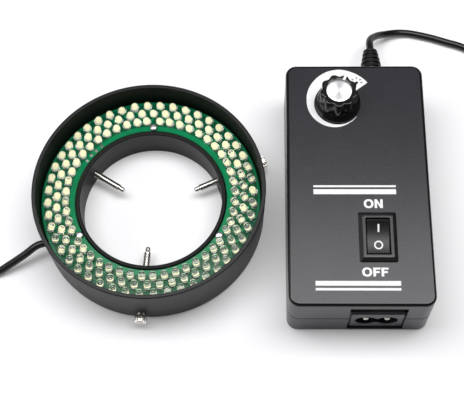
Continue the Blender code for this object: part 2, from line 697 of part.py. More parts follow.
def make_lower_case(surface):
    """Tray with a lip inside the cover, four screw bosses and the posts of the power board."""
    edge = PARTING_HEIGHT - SEAT_GAP / 2
    mesh = new_mesh()
    loops = [
        at_height(box_outline(BOX_FOOT_ROUND), 0),
        at_height(box_outline(0), BOX_FOOT_ROUND),
        at_height(box_outline(0), edge),
        at_height(box_outline(BOX_WALL - LIP_WALL), edge),
        at_height(box_outline(BOX_WALL - LIP_WALL), edge + LIP_HEIGHT),
    ]
    add_loft(mesh, loops)
    case = finish("lower_case", mesh, surface)

    cavity = new_mesh()
    add_prism(cavity, box_outline(BOX_WALL), BOX_FLOOR, edge + LIP_HEIGHT + CUT_OVERRUN)
    cut(case, "lower_cavity", cavity)

    seats = new_mesh()
    low = BOX_FLOOR - FUSE_DEPTH
    for x, y in case_screw_places():
        add_prism(seats, circle(CASE_BOSS_RADIUS, ROUND_SIDES), low, edge, Matrix.Translation((x, y, 0)))
    post_top = POWER_BOARD_UNDERSIDE - SEAT_GAP
    pin_top = POWER_BOARD_UNDERSIDE + POWER_BOARD_THICKNESS + POST_PIN_RISE
    post = ((POST_RADIUS, low), (POST_RADIUS, post_top), (POST_PIN_RADIUS, post_top), (POST_PIN_RADIUS, pin_top))
    for x, y in post_places():
        add_turned(seats, post, SMALL_SIDES, Matrix.Translation((x, y, 0)))
    fuse(case, "lower_seats", seats)

    holes = new_mesh()
    head_room = CASE_SCREW_HEAD_RADIUS + SEAT_GAP
    screw_room = CASE_SCREW_RADIUS + SEAT_GAP
    well = (
        (head_room, -CUT_OVERRUN),
        (head_room, CASE_SCREW_SINK),
        (screw_room, CASE_SCREW_SINK),
        (screw_room, edge + CUT_OVERRUN),
    )
    for x, y in case_screw_places():
        add_turned(holes, well, SMALL_SIDES, Matrix.Translation((x, y, 0)))
    cut(case, "lower_holes", holes)
    cut(case, "lower_shell_holes", shell_holes())


def make_case_screws(surface):
    head_top = CASE_SCREW_SINK - SEAT_GAP
    head_low = head_top - CASE_SCREW_HEAD_HEIGHT
    profile = (
        (CASE_SCREW_HEAD_RADIUS * CASE_SCREW_HEAD_FACE_SHARE, head_low),
        (CASE_SCREW_HEAD_RADIUS, head_low + CASE_SCREW_HEAD_HEIGHT / 3),
        (CASE_SCREW_HEAD_RADIUS, head_top),
        (CASE_SCREW_RADIUS, head_top),
        (CASE_SCREW_RADIUS, head_top + CASE_SCREW_LENGTH - CASE_SCREW_RADIUS),
        (CASE_SCREW_RADIUS / 3, head_top + CASE_SCREW_LENGTH),
    )
    for number, (x, y) in enumerate(case_screw_places(), 1):
        mesh = new_mesh()
        add_turned(mesh, profile, SMALL_SIDES, Matrix.Translation((x, y, 0)))
        finish(f"case_screw_{number}", mesh, surface)


def make_power_board(surface):
    mesh = new_mesh()
    low = (-board_side, board_front, POWER_BOARD_UNDERSIDE)
    high = (board_side, board_back, POWER_BOARD_UNDERSIDE + POWER_BOARD_THICKNESS)
    add_box(mesh, low, high)
    board = finish("power_board", mesh, surface)
    holes = new_mesh()
    outline = circle(POST_PIN_RADIUS + SEAT_GAP, SMALL_SIDES)
    for x, y in post_places():
        place = Matrix.Translation((x, y, 0))
        add_prism(holes, outline, low[2] - CUT_OVERRUN, high[2] + CUT_OVERRUN, place)
    cut(board, "power_board_holes", holes)


def make_transformer(core_surface, winding_surface):
    """Shell-type core whose middle leg carries the winding."""
    leg = CORE_WIDTH / 2 - CORE_YOKE - CORE_WINDOW_WIDTH
    window_low = board_rest + CORE_YOKE
    window_high = board_rest + CORE_HEIGHT - CORE_YOKE
    mesh = new_mesh()
    place = Matrix.Translation((CORE_FROM_SIDE - board_side, board_front + CORE_FROM_FRONT, 0))
    low = (-CORE_WIDTH / 2, -CORE_DEPTH / 2, board_rest)
    high = (CORE_WIDTH / 2, CORE_DEPTH / 2, board_rest + CORE_HEIGHT)
    add_box(mesh, low, high, place)
    core = finish("transformer_core", mesh, core_surface)
    windows = new_mesh()
    for side in (-1, 1):
        near, far = sorted((side * leg, side * (leg + CORE_WINDOW_WIDTH)))
        depth = CORE_DEPTH / 2 + CUT_OVERRUN
        add_box(windows, (near, -depth, window_low), (far, depth, window_high), place)
    cut(core, "core_windows", windows)

    inner_x = leg + SEAT_GAP
    inner_y = CORE_DEPTH / 2 + SEAT_GAP
    thickness = CORE_WINDOW_WIDTH - 2 * SEAT_GAP
    winding = new_mesh()
    outline = rounded_rectangle(2 * (inner_x + thickness), 2 * (inner_y + thickness), thickness / 2)
    add_prism(winding, outline, window_low + SEAT_GAP, window_high - SEAT_GAP, place)
    coil = finish("transformer_winding", winding, winding_surface)
    leg_room = new_mesh()
    low = (-inner_x, -inner_y, window_low - CUT_OVERRUN)
    high = (inner_x, inner_y, window_high + CUT_OVERRUN)
    add_box(leg_room, low, high, place)
    cut(coil, "leg_room", leg_room)


def make_capacitor(name, x, y, radius, height, surface):
    """Upright can with the rolled groove above its seal."""
    groove = board_rest + CAPACITOR_GROOVE_HEIGHT
    profile = (
        (radius, board_rest),
        (radius, groove - CAPACITOR_GROOVE_DEPTH),
        (radius - CAPACITOR_GROOVE_DEPTH, groove),
        (radius, groove + CAPACITOR_GROOVE_DEPTH),
        (radius, board_rest + height - CAPACITOR_GROOVE_DEPTH),
        (radius - CAPACITOR_GROOVE_DEPTH, board_rest + height),
    )
    mesh = new_mesh()
    add_turned(mesh, profile, CAPACITOR_SIDES, Matrix.Translation((x, y, 0)))
    finish(name, mesh, surface)


def make_heat_sink(surface):
    """Upright comb: a plate beside the wall with fins toward the box's middle."""
    pitch = (HEAT_SINK_LENGTH - HEAT_SINK_FIN) / (HEAT_SINK_FINS - 1)
    outline = [(0, HEAT_SINK_LENGTH), (0, 0)]
    for index in range(HEAT_SINK_FINS):
        start = index * pitch
        if index:
            outline.append((HEAT_SINK_BASE, start))
        outline.append((HEAT_SINK_BASE + HEAT_SINK_FIN_REACH, start))
        outline.append((HEAT_SINK_BASE + HEAT_SINK_FIN_REACH, start + HEAT_SINK_FIN))
        if index < HEAT_SINK_FINS - 1:
            outline.append((HEAT_SINK_BASE, start + HEAT_SINK_FIN))
    mesh = new_mesh()
    corner = Vector((board_side - HEAT_SINK_FROM_SIDE, board_back - HEAT_SINK_FROM_BACK, 0))
    place = Matrix.Translation(corner) @ Matrix.Rotation(math.pi, 4, "Z")
    add_prism(mesh, outline, board_rest, board_rest + HEAT_SINK_HEIGHT, place)
    finish("heat_sink", mesh, surface)


def make_potentiometer(body_surface, metal_surface):
    """Body under the top plate, its bushing through the plate, the nut and the shaft."""
    place = Matrix.Translation(dimmer_place)
    body_top = top_underside - SEAT_GAP
    body_low = body_top - POT_DEPTH
    bushing_top = BOX_HEIGHT + POT_BUSHING_RISE
    mesh = new_mesh()
    profile = (
        (POT_RADIUS, body_low),
        (POT_RADIUS, body_top),
        (POT_BUSHING_RADIUS, body_top),
        (POT_BUSHING_RADIUS, bushing_top),
    )
    add_turned(mesh, profile, ROUND_SIDES, place)
    body = finish("potentiometer_body", mesh, body_surface)
    lugs = new_mesh()
    for index in (-1, 0, 1):
        x = index * POT_LUG_PITCH
        low = (x - POT_LUG_WIDTH / 2, -POT_RADIUS - POT_LUG_LENGTH, body_low + POT_LUG_WIDTH)
        high = (x + POT_LUG_WIDTH / 2, -POT_RADIUS / 2, body_low + POT_LUG_WIDTH + POT_LUG_THICKNESS)
        add_box(lugs, low, high, place)
    fuse(body, "pot_lugs", lugs)
    shaft_room = new_mesh()
    outline = circle(POT_SHAFT_NECK_RADIUS + SEAT_GAP, ROUND_SIDES)
    neck_low = body_low + POT_DEPTH / 2
    add_prism(shaft_room, outline, neck_low - SEAT_GAP, bushing_top + CUT_OVERRUN, place)
    cut(body, "shaft_room", shaft_room)

    nut_low = BOX_HEIGHT + SEAT_GAP
    nut = new_mesh()
    corner = POT_NUT_FLAT_RADIUS / math.cos(math.pi / 6)
    add_prism(nut, circle(corner, 6), nut_low, nut_low + POT_NUT_HEIGHT, place)
    nut_object = finish("potentiometer_nut", nut, metal_surface)
    nut_room = new_mesh()
    outline = circle(POT_BUSHING_RADIUS + SEAT_GAP, ROUND_SIDES)
    add_prism(nut_room, outline, nut_low - CUT_OVERRUN, nut_low + POT_NUT_HEIGHT + CUT_OVERRUN, place)
    cut(nut_object, "nut_bore", nut_room)

    shaft = new_mesh()
    step = bushing_top + SEAT_GAP
    shaft_top = step + KNOB_SHAFT_ENGAGEMENT
    profile = (
        (POT_SHAFT_NECK_RADIUS, neck_low),
        (POT_SHAFT_NECK_RADIUS, step),
        (POT_SHAFT_RADIUS, step),
        (POT_SHAFT_RADIUS, shaft_top),
    )
    add_turned(shaft, profile, ROUND_SIDES, place)
    finish("potentiometer_shaft", shaft, metal_surface, place.translation)
    return shaft_top


def fluted(radius, depth):
    """Outline of the knob's grip: round lobes between shallow flutes."""
    count = KNOB_FLUTES * KNOB_STEPS_PER_FLUTE
    points = []
    for index in range(count):
        angle = KNOB_POINTER_ANGLE + 2 * math.pi * index / count
        reach = radius - depth * (1 - math.cos(KNOB_FLUTES * 2 * math.pi * index / count)) / 2
        points.append((reach * math.cos(angle), reach * math.sin(angle)))
    return points


def make_knob(knob_surface, cap_surface, screw_surface, shaft_top):
    """Fluted knob on a flared skirt, its metal cap and the screw that grips the shaft."""
    place = Matrix.Translation(dimmer_place)
    origin = place.translation
    cone_low = knob_underside + 2 * KNOB_SKIRT_EDGE
    cone_high = knob_underside + KNOB_CONE_TOP
    middle_radius = (KNOB_SKIRT_RADIUS + 2 * KNOB_CONE_RADIUS) / 3
    stations = (
        (KNOB_SKIRT_RADIUS, 0, knob_underside),
        (KNOB_SKIRT_RADIUS, 0, knob_underside + KNOB_SKIRT_EDGE),
        (KNOB_SKIRT_RADIUS - KNOB_SKIRT_EDGE, 0, cone_low),
        (middle_radius, 0, (cone_low + cone_high) / 2),
        (KNOB_CONE_RADIUS, 0, cone_high),
        (KNOB_GRIP_RADIUS, KNOB_FLUTE_DEPTH, cone_high),
        (KNOB_GRIP_TOP_RADIUS, KNOB_FLUTE_DEPTH, knob_top - KNOB_SHOULDER),
        (KNOB_SHOULDER_RADIUS, KNOB_FLUTE_DEPTH, knob_top),
    )
    mesh = new_mesh()
    add_loft(mesh, [[place @ point for point in at_height(fluted(radius, depth), height)]
                    for radius, depth, height in stations])
    knob = finish("dimmer_knob", mesh, knob_surface, origin)

    rooms = new_mesh()
    room_top = BOX_HEIGHT + POT_BUSHING_RISE + KNOB_GAP
    bore = POT_SHAFT_RADIUS + SEAT_GAP
    profile = (
        (KNOB_NUT_ROOM_RADIUS, knob_underside - CUT_OVERRUN),
        (KNOB_NUT_ROOM_RADIUS, room_top),
        (bore, room_top),
        (bore, shaft_top + SEAT_GAP),
    )
    add_turned(rooms, profile, ROUND_SIDES, place)
    cap_low = knob_top + KNOB_CAP_RISE - KNOB_CAP_THICKNESS
    outline = circle(KNOB_CAP_RADIUS + SEAT_GAP, ROUND_SIDES)
    add_prism(rooms, outline, cap_low - SEAT_GAP, knob_top + CUT_OVERRUN, place)
    cut(knob, "knob_rooms", rooms)

    turn = KNOB_POINTER_ANGLE + SET_SCREW_TURN
    outward = Matrix.Rotation(math.pi / 2, 4, "Y")
    screw_place = radial(turn, 0, knob_underside + SET_SCREW_HEIGHT, origin) @ outward
    screw_hole = new_mesh()
    outline = circle(SET_SCREW_RADIUS + SEAT_GAP, SMALL_SIDES)
    add_prism(screw_hole, outline, POT_SHAFT_RADIUS / 2, KNOB_SKIRT_RADIUS, screw_place)
    cut(knob, "set_screw_hole", screw_hole)
    screw = new_mesh()
    screw_start = POT_SHAFT_RADIUS + SEAT_GAP
    outline = circle(SET_SCREW_RADIUS, SMALL_SIDES)
    add_prism(screw, outline, screw_start, screw_start + SET_SCREW_LENGTH, screw_place)
    finish("knob_set_screw", screw, screw_surface, origin)

    cap = new_mesh()
    edge = KNOB_CAP_THICKNESS / 4
    profile = (
        (KNOB_CAP_RADIUS, cap_low),
        (KNOB_CAP_RADIUS, cap_low + KNOB_CAP_THICKNESS - edge),
        (KNOB_CAP_RADIUS - edge, cap_low + KNOB_CAP_THICKNESS),
    )
    add_turned(cap, profile, ROUND_SIDES, place)
    finish("knob_cap", cap, cap_surface, origin)


def make_switch(frame_surface, rocker_surface, metal_surface):
    """Frame through the top plate, the rocker on its two pins and the blades below."""
    place = Matrix.Translation(switch_place)
    body_low = frame_underside - SWITCH_BODY_DEPTH
    mesh = new_mesh()
    wide = rounded_rectangle(SWITCH_FRAME_WIDTH, SWITCH_FRAME_LENGTH, SWITCH_FRAME_CORNER)
    slim = rounded_rectangle(switch_body_width, switch_body_length, SWITCH_FRAME_CORNER)
    top = rounded_rectangle(
        SWITCH_FRAME_WIDTH - 2 * SWITCH_FRAME_ROUND,
        SWITCH_FRAME_LENGTH - 2 * SWITCH_FRAME_ROUND,
        SWITCH_FRAME_CORNER,
    )
    stations = (
        (slim, body_low),
        (slim, frame_underside),
        (wide, frame_underside),
        (wide, frame_top - SWITCH_FRAME_ROUND),
        (top, frame_top),
    )
    add_loft(mesh, [[place @ point for point in at_height(outline, height)] for outline, height in stations])
    frame = finish("switch_frame", mesh, frame_surface)

    rooms = new_mesh()
    opening = rounded_rectangle(switch_opening_width, switch_opening_length, SWITCH_FRAME_CORNER)
    add_prism(rooms, opening, frame_top - SWITCH_OPENING_DEPTH, frame_top + CUT_OVERRUN, place)
    cut(frame, "switch_opening", rooms)
    pin_room = new_mesh()
    reach = rocker_width / 2 + ROCKER_PIN_REACH + SEAT_GAP
    pin_place = along(Vector((1, 0, 0)), rocker_pivot)
    add_prism(pin_room, circle(ROCKER_PIN_RADIUS + SEAT_GAP, SMALL_SIDES), -reach, reach, pin_place)
    cut(frame, "rocker_pin_room", pin_room)
    slots = new_mesh()
    slot_x = TERMINAL_WIDTH / 2 + SEAT_GAP
    slot_y = TERMINAL_THICKNESS / 2 + SEAT_GAP
    terminal_places = (0, switch_body_length / 2 - TERMINAL_FROM_END)
    for y in terminal_places:
        centre = place @ Matrix.Translation((0, y, 0))
        low = (-slot_x, -slot_y, body_low - CUT_OVERRUN)
        high = (slot_x, slot_y, body_low + TERMINAL_SEAT + SEAT_GAP)
        add_box(slots, low, high, centre)
    cut(frame, "terminal_slots", slots)

    for number, y in enumerate(terminal_places, 1):
        blade = new_mesh()
        centre = place @ Matrix.Translation((0, y, 0))
        low = (-TERMINAL_WIDTH / 2, -TERMINAL_THICKNESS / 2, body_low + TERMINAL_SEAT - TERMINAL_LENGTH)
        high = (TERMINAL_WIDTH / 2, TERMINAL_THICKNESS / 2, body_low + TERMINAL_SEAT)
        add_box(blade, low, high, centre)
        finish(f"switch_terminal_{number}", blade, metal_surface)

    profile = (
        (rocker_half_length, ROCKER_END_HEIGHT),
        (0, ROCKER_MIDDLE_HEIGHT),
        (-rocker_half_length, ROCKER_END_HEIGHT),
        (-rocker_half_length * ROCKER_HEEL_SHARE, -ROCKER_DEPTH / 2),
        (-rocker_half_length * ROCKER_KEEL_SHARE, -ROCKER_DEPTH),
        (rocker_half_length * ROCKER_KEEL_SHARE, -ROCKER_DEPTH),
        (rocker_half_length * ROCKER_HEEL_SHARE, -ROCKER_DEPTH / 2),
    )
    tilt = Matrix.Translation(rocker_pivot) @ Matrix.Rotation(ROCKER_TILT, 4, "X")
    rocker = new_mesh()
    sides = (-rocker_width / 2, rocker_width / 2)
    add_loft(rocker, [[tilt @ Vector((x, y, z)) for y, z in profile] for x in sides])
    rocker_object = finish("switch_rocker", rocker, rocker_surface, rocker_pivot)
    pins = new_mesh()
    reach = rocker_width / 2 + ROCKER_PIN_REACH
    add_prism(pins, circle(ROCKER_PIN_RADIUS, SMALL_SIDES), -reach, reach, pin_place)
    fuse(rocker_object, "rocker_pins", pins)


def figure_eight():
    """Outline of the inlet's socket: two lobes joined by a waist."""
    points = []
    for side in (1, -1):
        for step in range(INLET_LOBE_STEPS + 1):
            angle = -INLET_WAIST_ANGLE + 2 * INLET_WAIST_ANGLE * step / INLET_LOBE_STEPS
            x = side * (INLET_PIN_PITCH / 2 + INLET_LOBE_RADIUS * math.cos(angle))
            y = side * INLET_LOBE_RADIUS * math.sin(angle)
            points.append((x, y))
    return points


def make_inlet(body_surface, metal_surface):
    """Mains inlet block with a figure-eight socket and its two round pins."""
    place = along(Vector((0, -1, 0)), Vector((inlet_x, inlet_face, inlet_height)))
    mesh = new_mesh()
    face = rounded_rectangle(INLET_WIDTH, INLET_HEIGHT, INLET_EDGE_ROUND, 1)
    eased = rounded_rectangle(
        INLET_WIDTH - 2 * INLET_EDGE_ROUND, INLET_HEIGHT - 2 * INLET_EDGE_ROUND, INLET_EDGE_ROUND, 1
    )
    stations = ((face, -INLET_DEPTH), (face, -INLET_EDGE_ROUND), (eased, 0))
    add_loft(mesh, [[place @ point for point in at_height(outline, height)] for outline, height in stations])
    body = finish("inlet_body", mesh, body_surface)
    socket = new_mesh()
    add_prism(socket, figure_eight(), -INLET_SOCKET_DEPTH, CUT_OVERRUN, place)
    cut(body, "inlet_socket", socket)
    pin_rooms = new_mesh()
    pin_radius = INLET_PIN_RADIUS + SEAT_GAP
    for side in (-1, 1):
        pin_place = place @ Matrix.Translation((side * INLET_PIN_PITCH / 2, 0, 0))
        low = -INLET_DEPTH - CUT_OVERRUN
        add_prism(pin_rooms, circle(pin_radius, SMALL_SIDES), low, CUT_OVERRUN - INLET_SOCKET_DEPTH, pin_place)
    cut(body, "inlet_pin_rooms", pin_rooms)
    for number, side in enumerate((-1, 1), 1):
        pin_place = place @ Matrix.Translation((side * INLET_PIN_PITCH / 2, 0, 0))
        tip = -INLET_PIN_SINK
        profile = (
            (INLET_PIN_RADIUS, -INLET_DEPTH - INLET_PIN_TAIL),
            (INLET_PIN_RADIUS, tip - INLET_PIN_RADIUS / 2),
            (INLET_PIN_RADIUS / 2, tip),
        )
        pin = new_mesh()
        add_turned(pin, profile, SMALL_SIDES, pin_place)
        finish(f"inlet_pin_{number}", pin, metal_surface)


def make_strain_relief(surface):
    """Rubber boot clamped in the back wall, tapering over its ribs to the cord."""
    place = along(Vector((0, 1, 0)), Vector((relief_x, back, PARTING_HEIGHT)))
    inside = -BOX_WALL - SEAT_GAP
    outside = SEAT_GAP
    ribs_start = outside + RELIEF_FLANGE_LENGTH
    ribs_end = RELIEF_LENGTH - RELIEF_TIP_LENGTH
    pitch = (ribs_end - ribs_start) / RELIEF_RIBS
    profile = [
        (RELIEF_HEAD_RADIUS, inside - RELIEF_HEAD_LENGTH),
        (RELIEF_HEAD_RADIUS, inside),
        (RELIEF_NECK_RADIUS, inside),
        (RELIEF_NECK_RADIUS, outside),
        (RELIEF_FLANGE_RADIUS, outside),
        (RELIEF_FLANGE_RADIUS, ribs_start - RELIEF_GROOVE_DEPTH),
    ]
    groove_share, rib_start_share, rib_end_share = RELIEF_RIB_SHARES
    for index in range(RELIEF_RIBS):
        low = ribs_start + index * pitch
        radius = RELIEF_BASE_RADIUS + (RELIEF_TIP_RADIUS - RELIEF_BASE_RADIUS) * index / RELIEF_RIBS
        profile.append((radius - RELIEF_GROOVE_DEPTH, low + pitch * groove_share))
        profile.append((radius, low + pitch * rib_start_share))
        profile.append((radius, low + pitch * rib_end_share))
    profile.append((RELIEF_TIP_RADIUS - RELIEF_GROOVE_DEPTH, ribs_end))
    profile.append((RELIEF_TIP_RADIUS, ribs_end + RELIEF_TIP_LENGTH / 3))
    profile.append((RELIEF_TIP_RADIUS, RELIEF_LENGTH - RELIEF_TIP_LENGTH / 3))
    profile.append(((RELIEF_TIP_RADIUS + CORD_RADIUS) / 2, RELIEF_LENGTH))
    mesh = new_mesh()
    add_turned(mesh, profile, RELIEF_SIDES, place)
    finish("strain_relief", mesh, surface)


def curve_between(before, start, end, after):
    """Points of a centripetal Catmull-Rom curve from one route point up to the next."""
    start_knot = math.sqrt((start - before).length)
    end_knot = start_knot + math.sqrt((end - start).length)
    after_knot = end_knot + math.sqrt((after - end).length)
    points = []
    for step in range(CORD_CURVE_STEPS):
        knot = start_knot + (end_knot - start_knot) * step / CORD_CURVE_STEPS
        first = before.lerp(start, knot / start_knot)
        middle = start.lerp(end, (knot - start_knot) / (end_knot - start_knot))
        last = end.lerp(after, (knot - end_knot) / (after_knot - end_knot))
        earlier = first.lerp(middle, knot / end_knot)
        later = middle.lerp(last, (knot - start_knot) / (after_knot - start_knot))
        points.append(earlier.lerp(later, (knot - start_knot) / (end_knot - start_knot)))
    return points


def even_steps(dense, spacing):
    """Points at equal distances along a dense line, with both of its ends."""
    lengths = [0.0]
    for left, right in zip(dense, dense[1:]):
        lengths.append(lengths[-1] + (right - left).length)
    count = round(lengths[-1] / spacing)
    even = []
    segment = 0
    for index in range(count + 1):
        wanted = lengths[-1] * index / count
        while segment < len(lengths) - 2 and lengths[segment + 1] < wanted:
            segment += 1
        share = (wanted - lengths[segment]) / (lengths[segment + 1] - lengths[segment])
        even.append(dense[segment].lerp(dense[segment + 1], share))
    return even


def cord_line(start, start_direction, route, end, end_direction):
    """Line of a cord whose ends run straight for one diameter, square to what they meet."""
    lead = 2 * CORD_RADIUS
    controls = [start, start + start_direction * lead]
    controls += [Vector(point) for point in route]
    controls += [end - end_direction * lead, end]
    dense = []
    for group in zip(controls, controls[1:], controls[2:], controls[3:]):
        dense += curve_between(*group)
    dense.append(controls[-2])
    return [start, *even_steps(dense, CORD_POINT_SPACING), end]


def make_tube(name, points, radius, bevel_resolution, surface):
    """Round cord along a line of points, with filled ends."""
    curve = bpy.data.curves.new(name, "CURVE")
    curve.dimensions = "3D"
    curve.bevel_depth = radius
    curve.bevel_resolution = bevel_resolution
    curve.use_fill_caps = True
    spline = curve.splines.new("POLY")
    spline.points.add(len(points) - 1)
    for spline_point, point in zip(spline.points, points):
        spline_point.co = (*point, 1.0)
    curve.materials.append(surface)
    made = bpy.data.objects.new(name, curve)
    bpy.context.scene.collection.objects.link(made)


def coil_turns():
    """Centreline of the put-away cord: a spiral in, a climb where it reverses, a spiral out."""
    count = COIL_TURNS * COIL_POINTS_PER_TURN + COIL_POINTS_PER_TURN // 2
    points = []
    for step in range(count + 1):
        turns_from_middle = (step - count / 2) / COIL_POINTS_PER_TURN
        angle = COIL_START_ANGLE + 2 * math.pi * step / COIL_POINTS_PER_TURN
        radius = COIL_INNER_RADIUS + COIL_PITCH * abs(turns_from_middle)
        climb_share = min(max(2 * turns_from_middle + 1 / 2, 0), 1)
        points.append(Vector((
            COIL_CENTRE_X + radius * math.cos(angle),
            COIL_CENTRE_Y + radius * math.sin(angle),
            CORD_RADIUS + COIL_PITCH * climb_share,
        )))
    return points


def least_gap(points):
    """Smallest space between two turns of the coil, measured on its points."""
    apart = COIL_POINTS_PER_TURN // 2
    gaps = []
    for index, point in enumerate(points):
        gaps += [(other - point).length - 2 * CORD_RADIUS for other in points[index + apart:]]
    return min(gaps)


def make_cord(surface):
    """Coil of the cord's spare length and the two stretches that lead to it."""
    turns = coil_turns()
    lead = 2 * CORD_RADIUS
    tangent = Vector((-math.sin(COIL_START_ANGLE), math.cos(COIL_START_ANGLE), 0))
    coil = [turns[0] - tangent * lead, *turns, turns[-1] - tangent * lead]
    make_tube("cord_coil", coil, CORD_RADIUS, 1, surface)
    print("least gap between turns of cord_coil, mm:", round(1000 * least_gap(turns), 3))

    hole = ring_centre + Vector((0, 0, CORD_HOLE_HEIGHT))
    start = hole + cord_hole_direction * (channel_radius - CORD_HOLE_DEPTH)
    end = coil[-1] - tangent * SEAT_GAP
    points = cord_line(start, cord_hole_direction, RING_ROUTE, end, tangent)
    make_tube("cord_ring_stretch", points, CORD_RADIUS, 2, surface)

    outward = Vector((0, 1, 0))
    start = Vector((relief_x, back + RELIEF_LENGTH + SEAT_GAP, PARTING_HEIGHT))
    end = coil[0] - tangent * SEAT_GAP
    points = cord_line(start, outward, BOX_ROUTE, end, tangent)
    make_tube("cord_box_stretch", points, CORD_RADIUS, 2, surface)


clear_scene()
ring_plastic = material("ring_plastic", (0.040, 0.040, 0.042), 0.45)
case_plastic = material("case_plastic", (0.085, 0.085, 0.090), 0.6)
board_green = material("board_green", (0.010, 0.260, 0.110), 0.4)
screw_steel = material("screw_steel", (0.620, 0.620, 0.640), 0.3, 1.0)
bright_nickel = material("bright_nickel", (0.750, 0.720, 0.680), 0.2, 1.0)
knob_plastic = material("knob_plastic", (0.020, 0.020, 0.022), 0.4)
spun_aluminium = material("spun_aluminium", (0.780, 0.790, 0.810), 0.25, 1.0)
switch_plastic = material("switch_plastic", (0.018, 0.018, 0.020), 0.35)
inlet_plastic = material("inlet_plastic", (0.022, 0.022, 0.024), 0.5)
tinned_brass = material("tinned_brass", (0.700, 0.640, 0.500), 0.3, 1.0)
cord_vinyl = material("cord_vinyl", (0.030, 0.030, 0.032), 0.5)
board_tan = material("board_tan", (0.300, 0.190, 0.080), 0.6)
ferrite = material("ferrite", (0.050, 0.048, 0.050), 0.7)
winding_tape = material("winding_tape", (0.650, 0.480, 0.050), 0.5)
can_sleeve = material("can_sleeve", (0.020, 0.030, 0.080), 0.4)
raw_aluminium = material("raw_aluminium", (0.600, 0.610, 0.620), 0.4, 1.0)

make_ring_housing(ring_plastic)
make_led_board(board_green)
make_board_screws(screw_steel)
screws = zip(THUMBSCREW_ANGLES, THUMBSCREW_LENGTHS, THUMBSCREW_STANDOFFS)
for screw_number, (screw_angle, screw_length, screw_standoff) in enumerate(screws, 1):
    make_thumbscrew(f"thumbscrew_{screw_number}", screw_angle, screw_length, screw_standoff, bright_nickel)

make_upper_case(case_plastic)
make_lower_case(case_plastic)
make_case_screws(screw_steel)
make_power_board(board_tan)
make_transformer(ferrite, winding_tape)
make_capacitor(
    "input_capacitor", board_side - INPUT_CAPACITOR_FROM_SIDE, board_front + INPUT_CAPACITOR_FROM_FRONT,
    INPUT_CAPACITOR_RADIUS, INPUT_CAPACITOR_HEIGHT, can_sleeve,
)
make_capacitor(
    "output_capacitor", board_side - OUTPUT_CAPACITOR_FROM_SIDE, board_back - OUTPUT_CAPACITOR_FROM_BACK,
    OUTPUT_CAPACITOR_RADIUS, OUTPUT_CAPACITOR_HEIGHT, can_sleeve,
)
make_heat_sink(raw_aluminium)
pot_shaft_top = make_potentiometer(inlet_plastic, screw_steel)
make_knob(knob_plastic, spun_aluminium, screw_steel, pot_shaft_top)
make_switch(switch_plastic, switch_plastic, tinned_brass)
make_inlet(inlet_plastic, tinned_brass)
make_strain_relief(cord_vinyl)
make_cord(cord_vinyl)
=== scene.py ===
import math
import random

import bmesh
import bpy
from mathutils import Matrix, Vector


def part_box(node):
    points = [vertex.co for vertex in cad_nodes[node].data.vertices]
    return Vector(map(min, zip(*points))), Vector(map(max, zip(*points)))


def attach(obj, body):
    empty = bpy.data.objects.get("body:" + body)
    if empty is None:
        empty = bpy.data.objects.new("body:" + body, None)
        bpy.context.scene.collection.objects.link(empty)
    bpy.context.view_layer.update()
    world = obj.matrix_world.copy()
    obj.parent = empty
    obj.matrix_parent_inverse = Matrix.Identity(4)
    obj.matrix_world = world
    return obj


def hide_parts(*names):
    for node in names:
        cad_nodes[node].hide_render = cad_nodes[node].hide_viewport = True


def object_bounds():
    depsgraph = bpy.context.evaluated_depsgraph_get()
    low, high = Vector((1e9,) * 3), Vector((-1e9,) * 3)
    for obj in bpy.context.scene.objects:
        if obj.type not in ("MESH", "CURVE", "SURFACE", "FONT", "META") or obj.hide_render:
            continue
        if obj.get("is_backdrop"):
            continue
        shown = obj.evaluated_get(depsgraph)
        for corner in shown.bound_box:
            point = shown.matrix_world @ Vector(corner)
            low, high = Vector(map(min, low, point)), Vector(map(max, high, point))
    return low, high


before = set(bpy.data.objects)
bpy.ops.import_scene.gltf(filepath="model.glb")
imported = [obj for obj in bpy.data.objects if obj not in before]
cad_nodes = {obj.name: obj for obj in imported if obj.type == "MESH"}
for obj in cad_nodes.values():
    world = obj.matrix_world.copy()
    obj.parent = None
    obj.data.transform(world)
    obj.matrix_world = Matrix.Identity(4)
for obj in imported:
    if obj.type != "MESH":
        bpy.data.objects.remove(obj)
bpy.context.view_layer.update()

# Ring housing
# One moulding of black ABS: a round channel with a tall outer wall, a closed back and a short
# inner tube. Its steel mould is spark-eroded, and the plastic keeps that even matt grain.
# The thumbscrews' holes run through both walls and the guide blocks, the cord's through the outer wall.
RING_CENTRE = Vector((-85.2, -1.5, 0))
RING_RADIUS = 48
RING_SIDES = 192
THUMBSCREW_HEIGHT = 6.0
THUMBSCREW_ANGLES = (24.4, 148.0, 266.3)
BOARD_SCREW_ANGLES = (90.0, 210.0, 330.0)
BOARD_SCREW_CIRCLE = 33.2
CORD_HOLE_ANGLE = 201.0
CORD_HOLE_HEIGHT = 8.0


def linear(hex_colour):
    """Linear colour of an sRGB hex value."""
    channels = [int(hex_colour[place:place + 2], 16) / 255 for place in (1, 3, 5)]
    return tuple(c / 12.92 if c <= 0.04045 else ((c + 0.055) / 1.055) ** 2.4 for c in channels) + (1.0,)


def add_node(tree, kind, settings=None, links=None):
    """Adds one shader node, sets its properties and sockets, and links what feeds it."""
    made = tree.nodes.new("ShaderNode" + kind)
    for key, value in (settings or {}).items():
        if isinstance(key, str) and hasattr(made, key):
            setattr(made, key, value)
        else:
            made.inputs[key].default_value = value
    for key, source in (links or {}).items():
        tree.links.new(source, made.inputs[key])
    return made


def new_material(name):
    """An empty node material, its tree, and the coordinates of the object that wears it."""
    made = bpy.data.materials.new(name)
    made.use_nodes = True
    made.node_tree.nodes.clear()
    return made, made.node_tree, add_node(made.node_tree, "TexCoord").outputs["Object"]


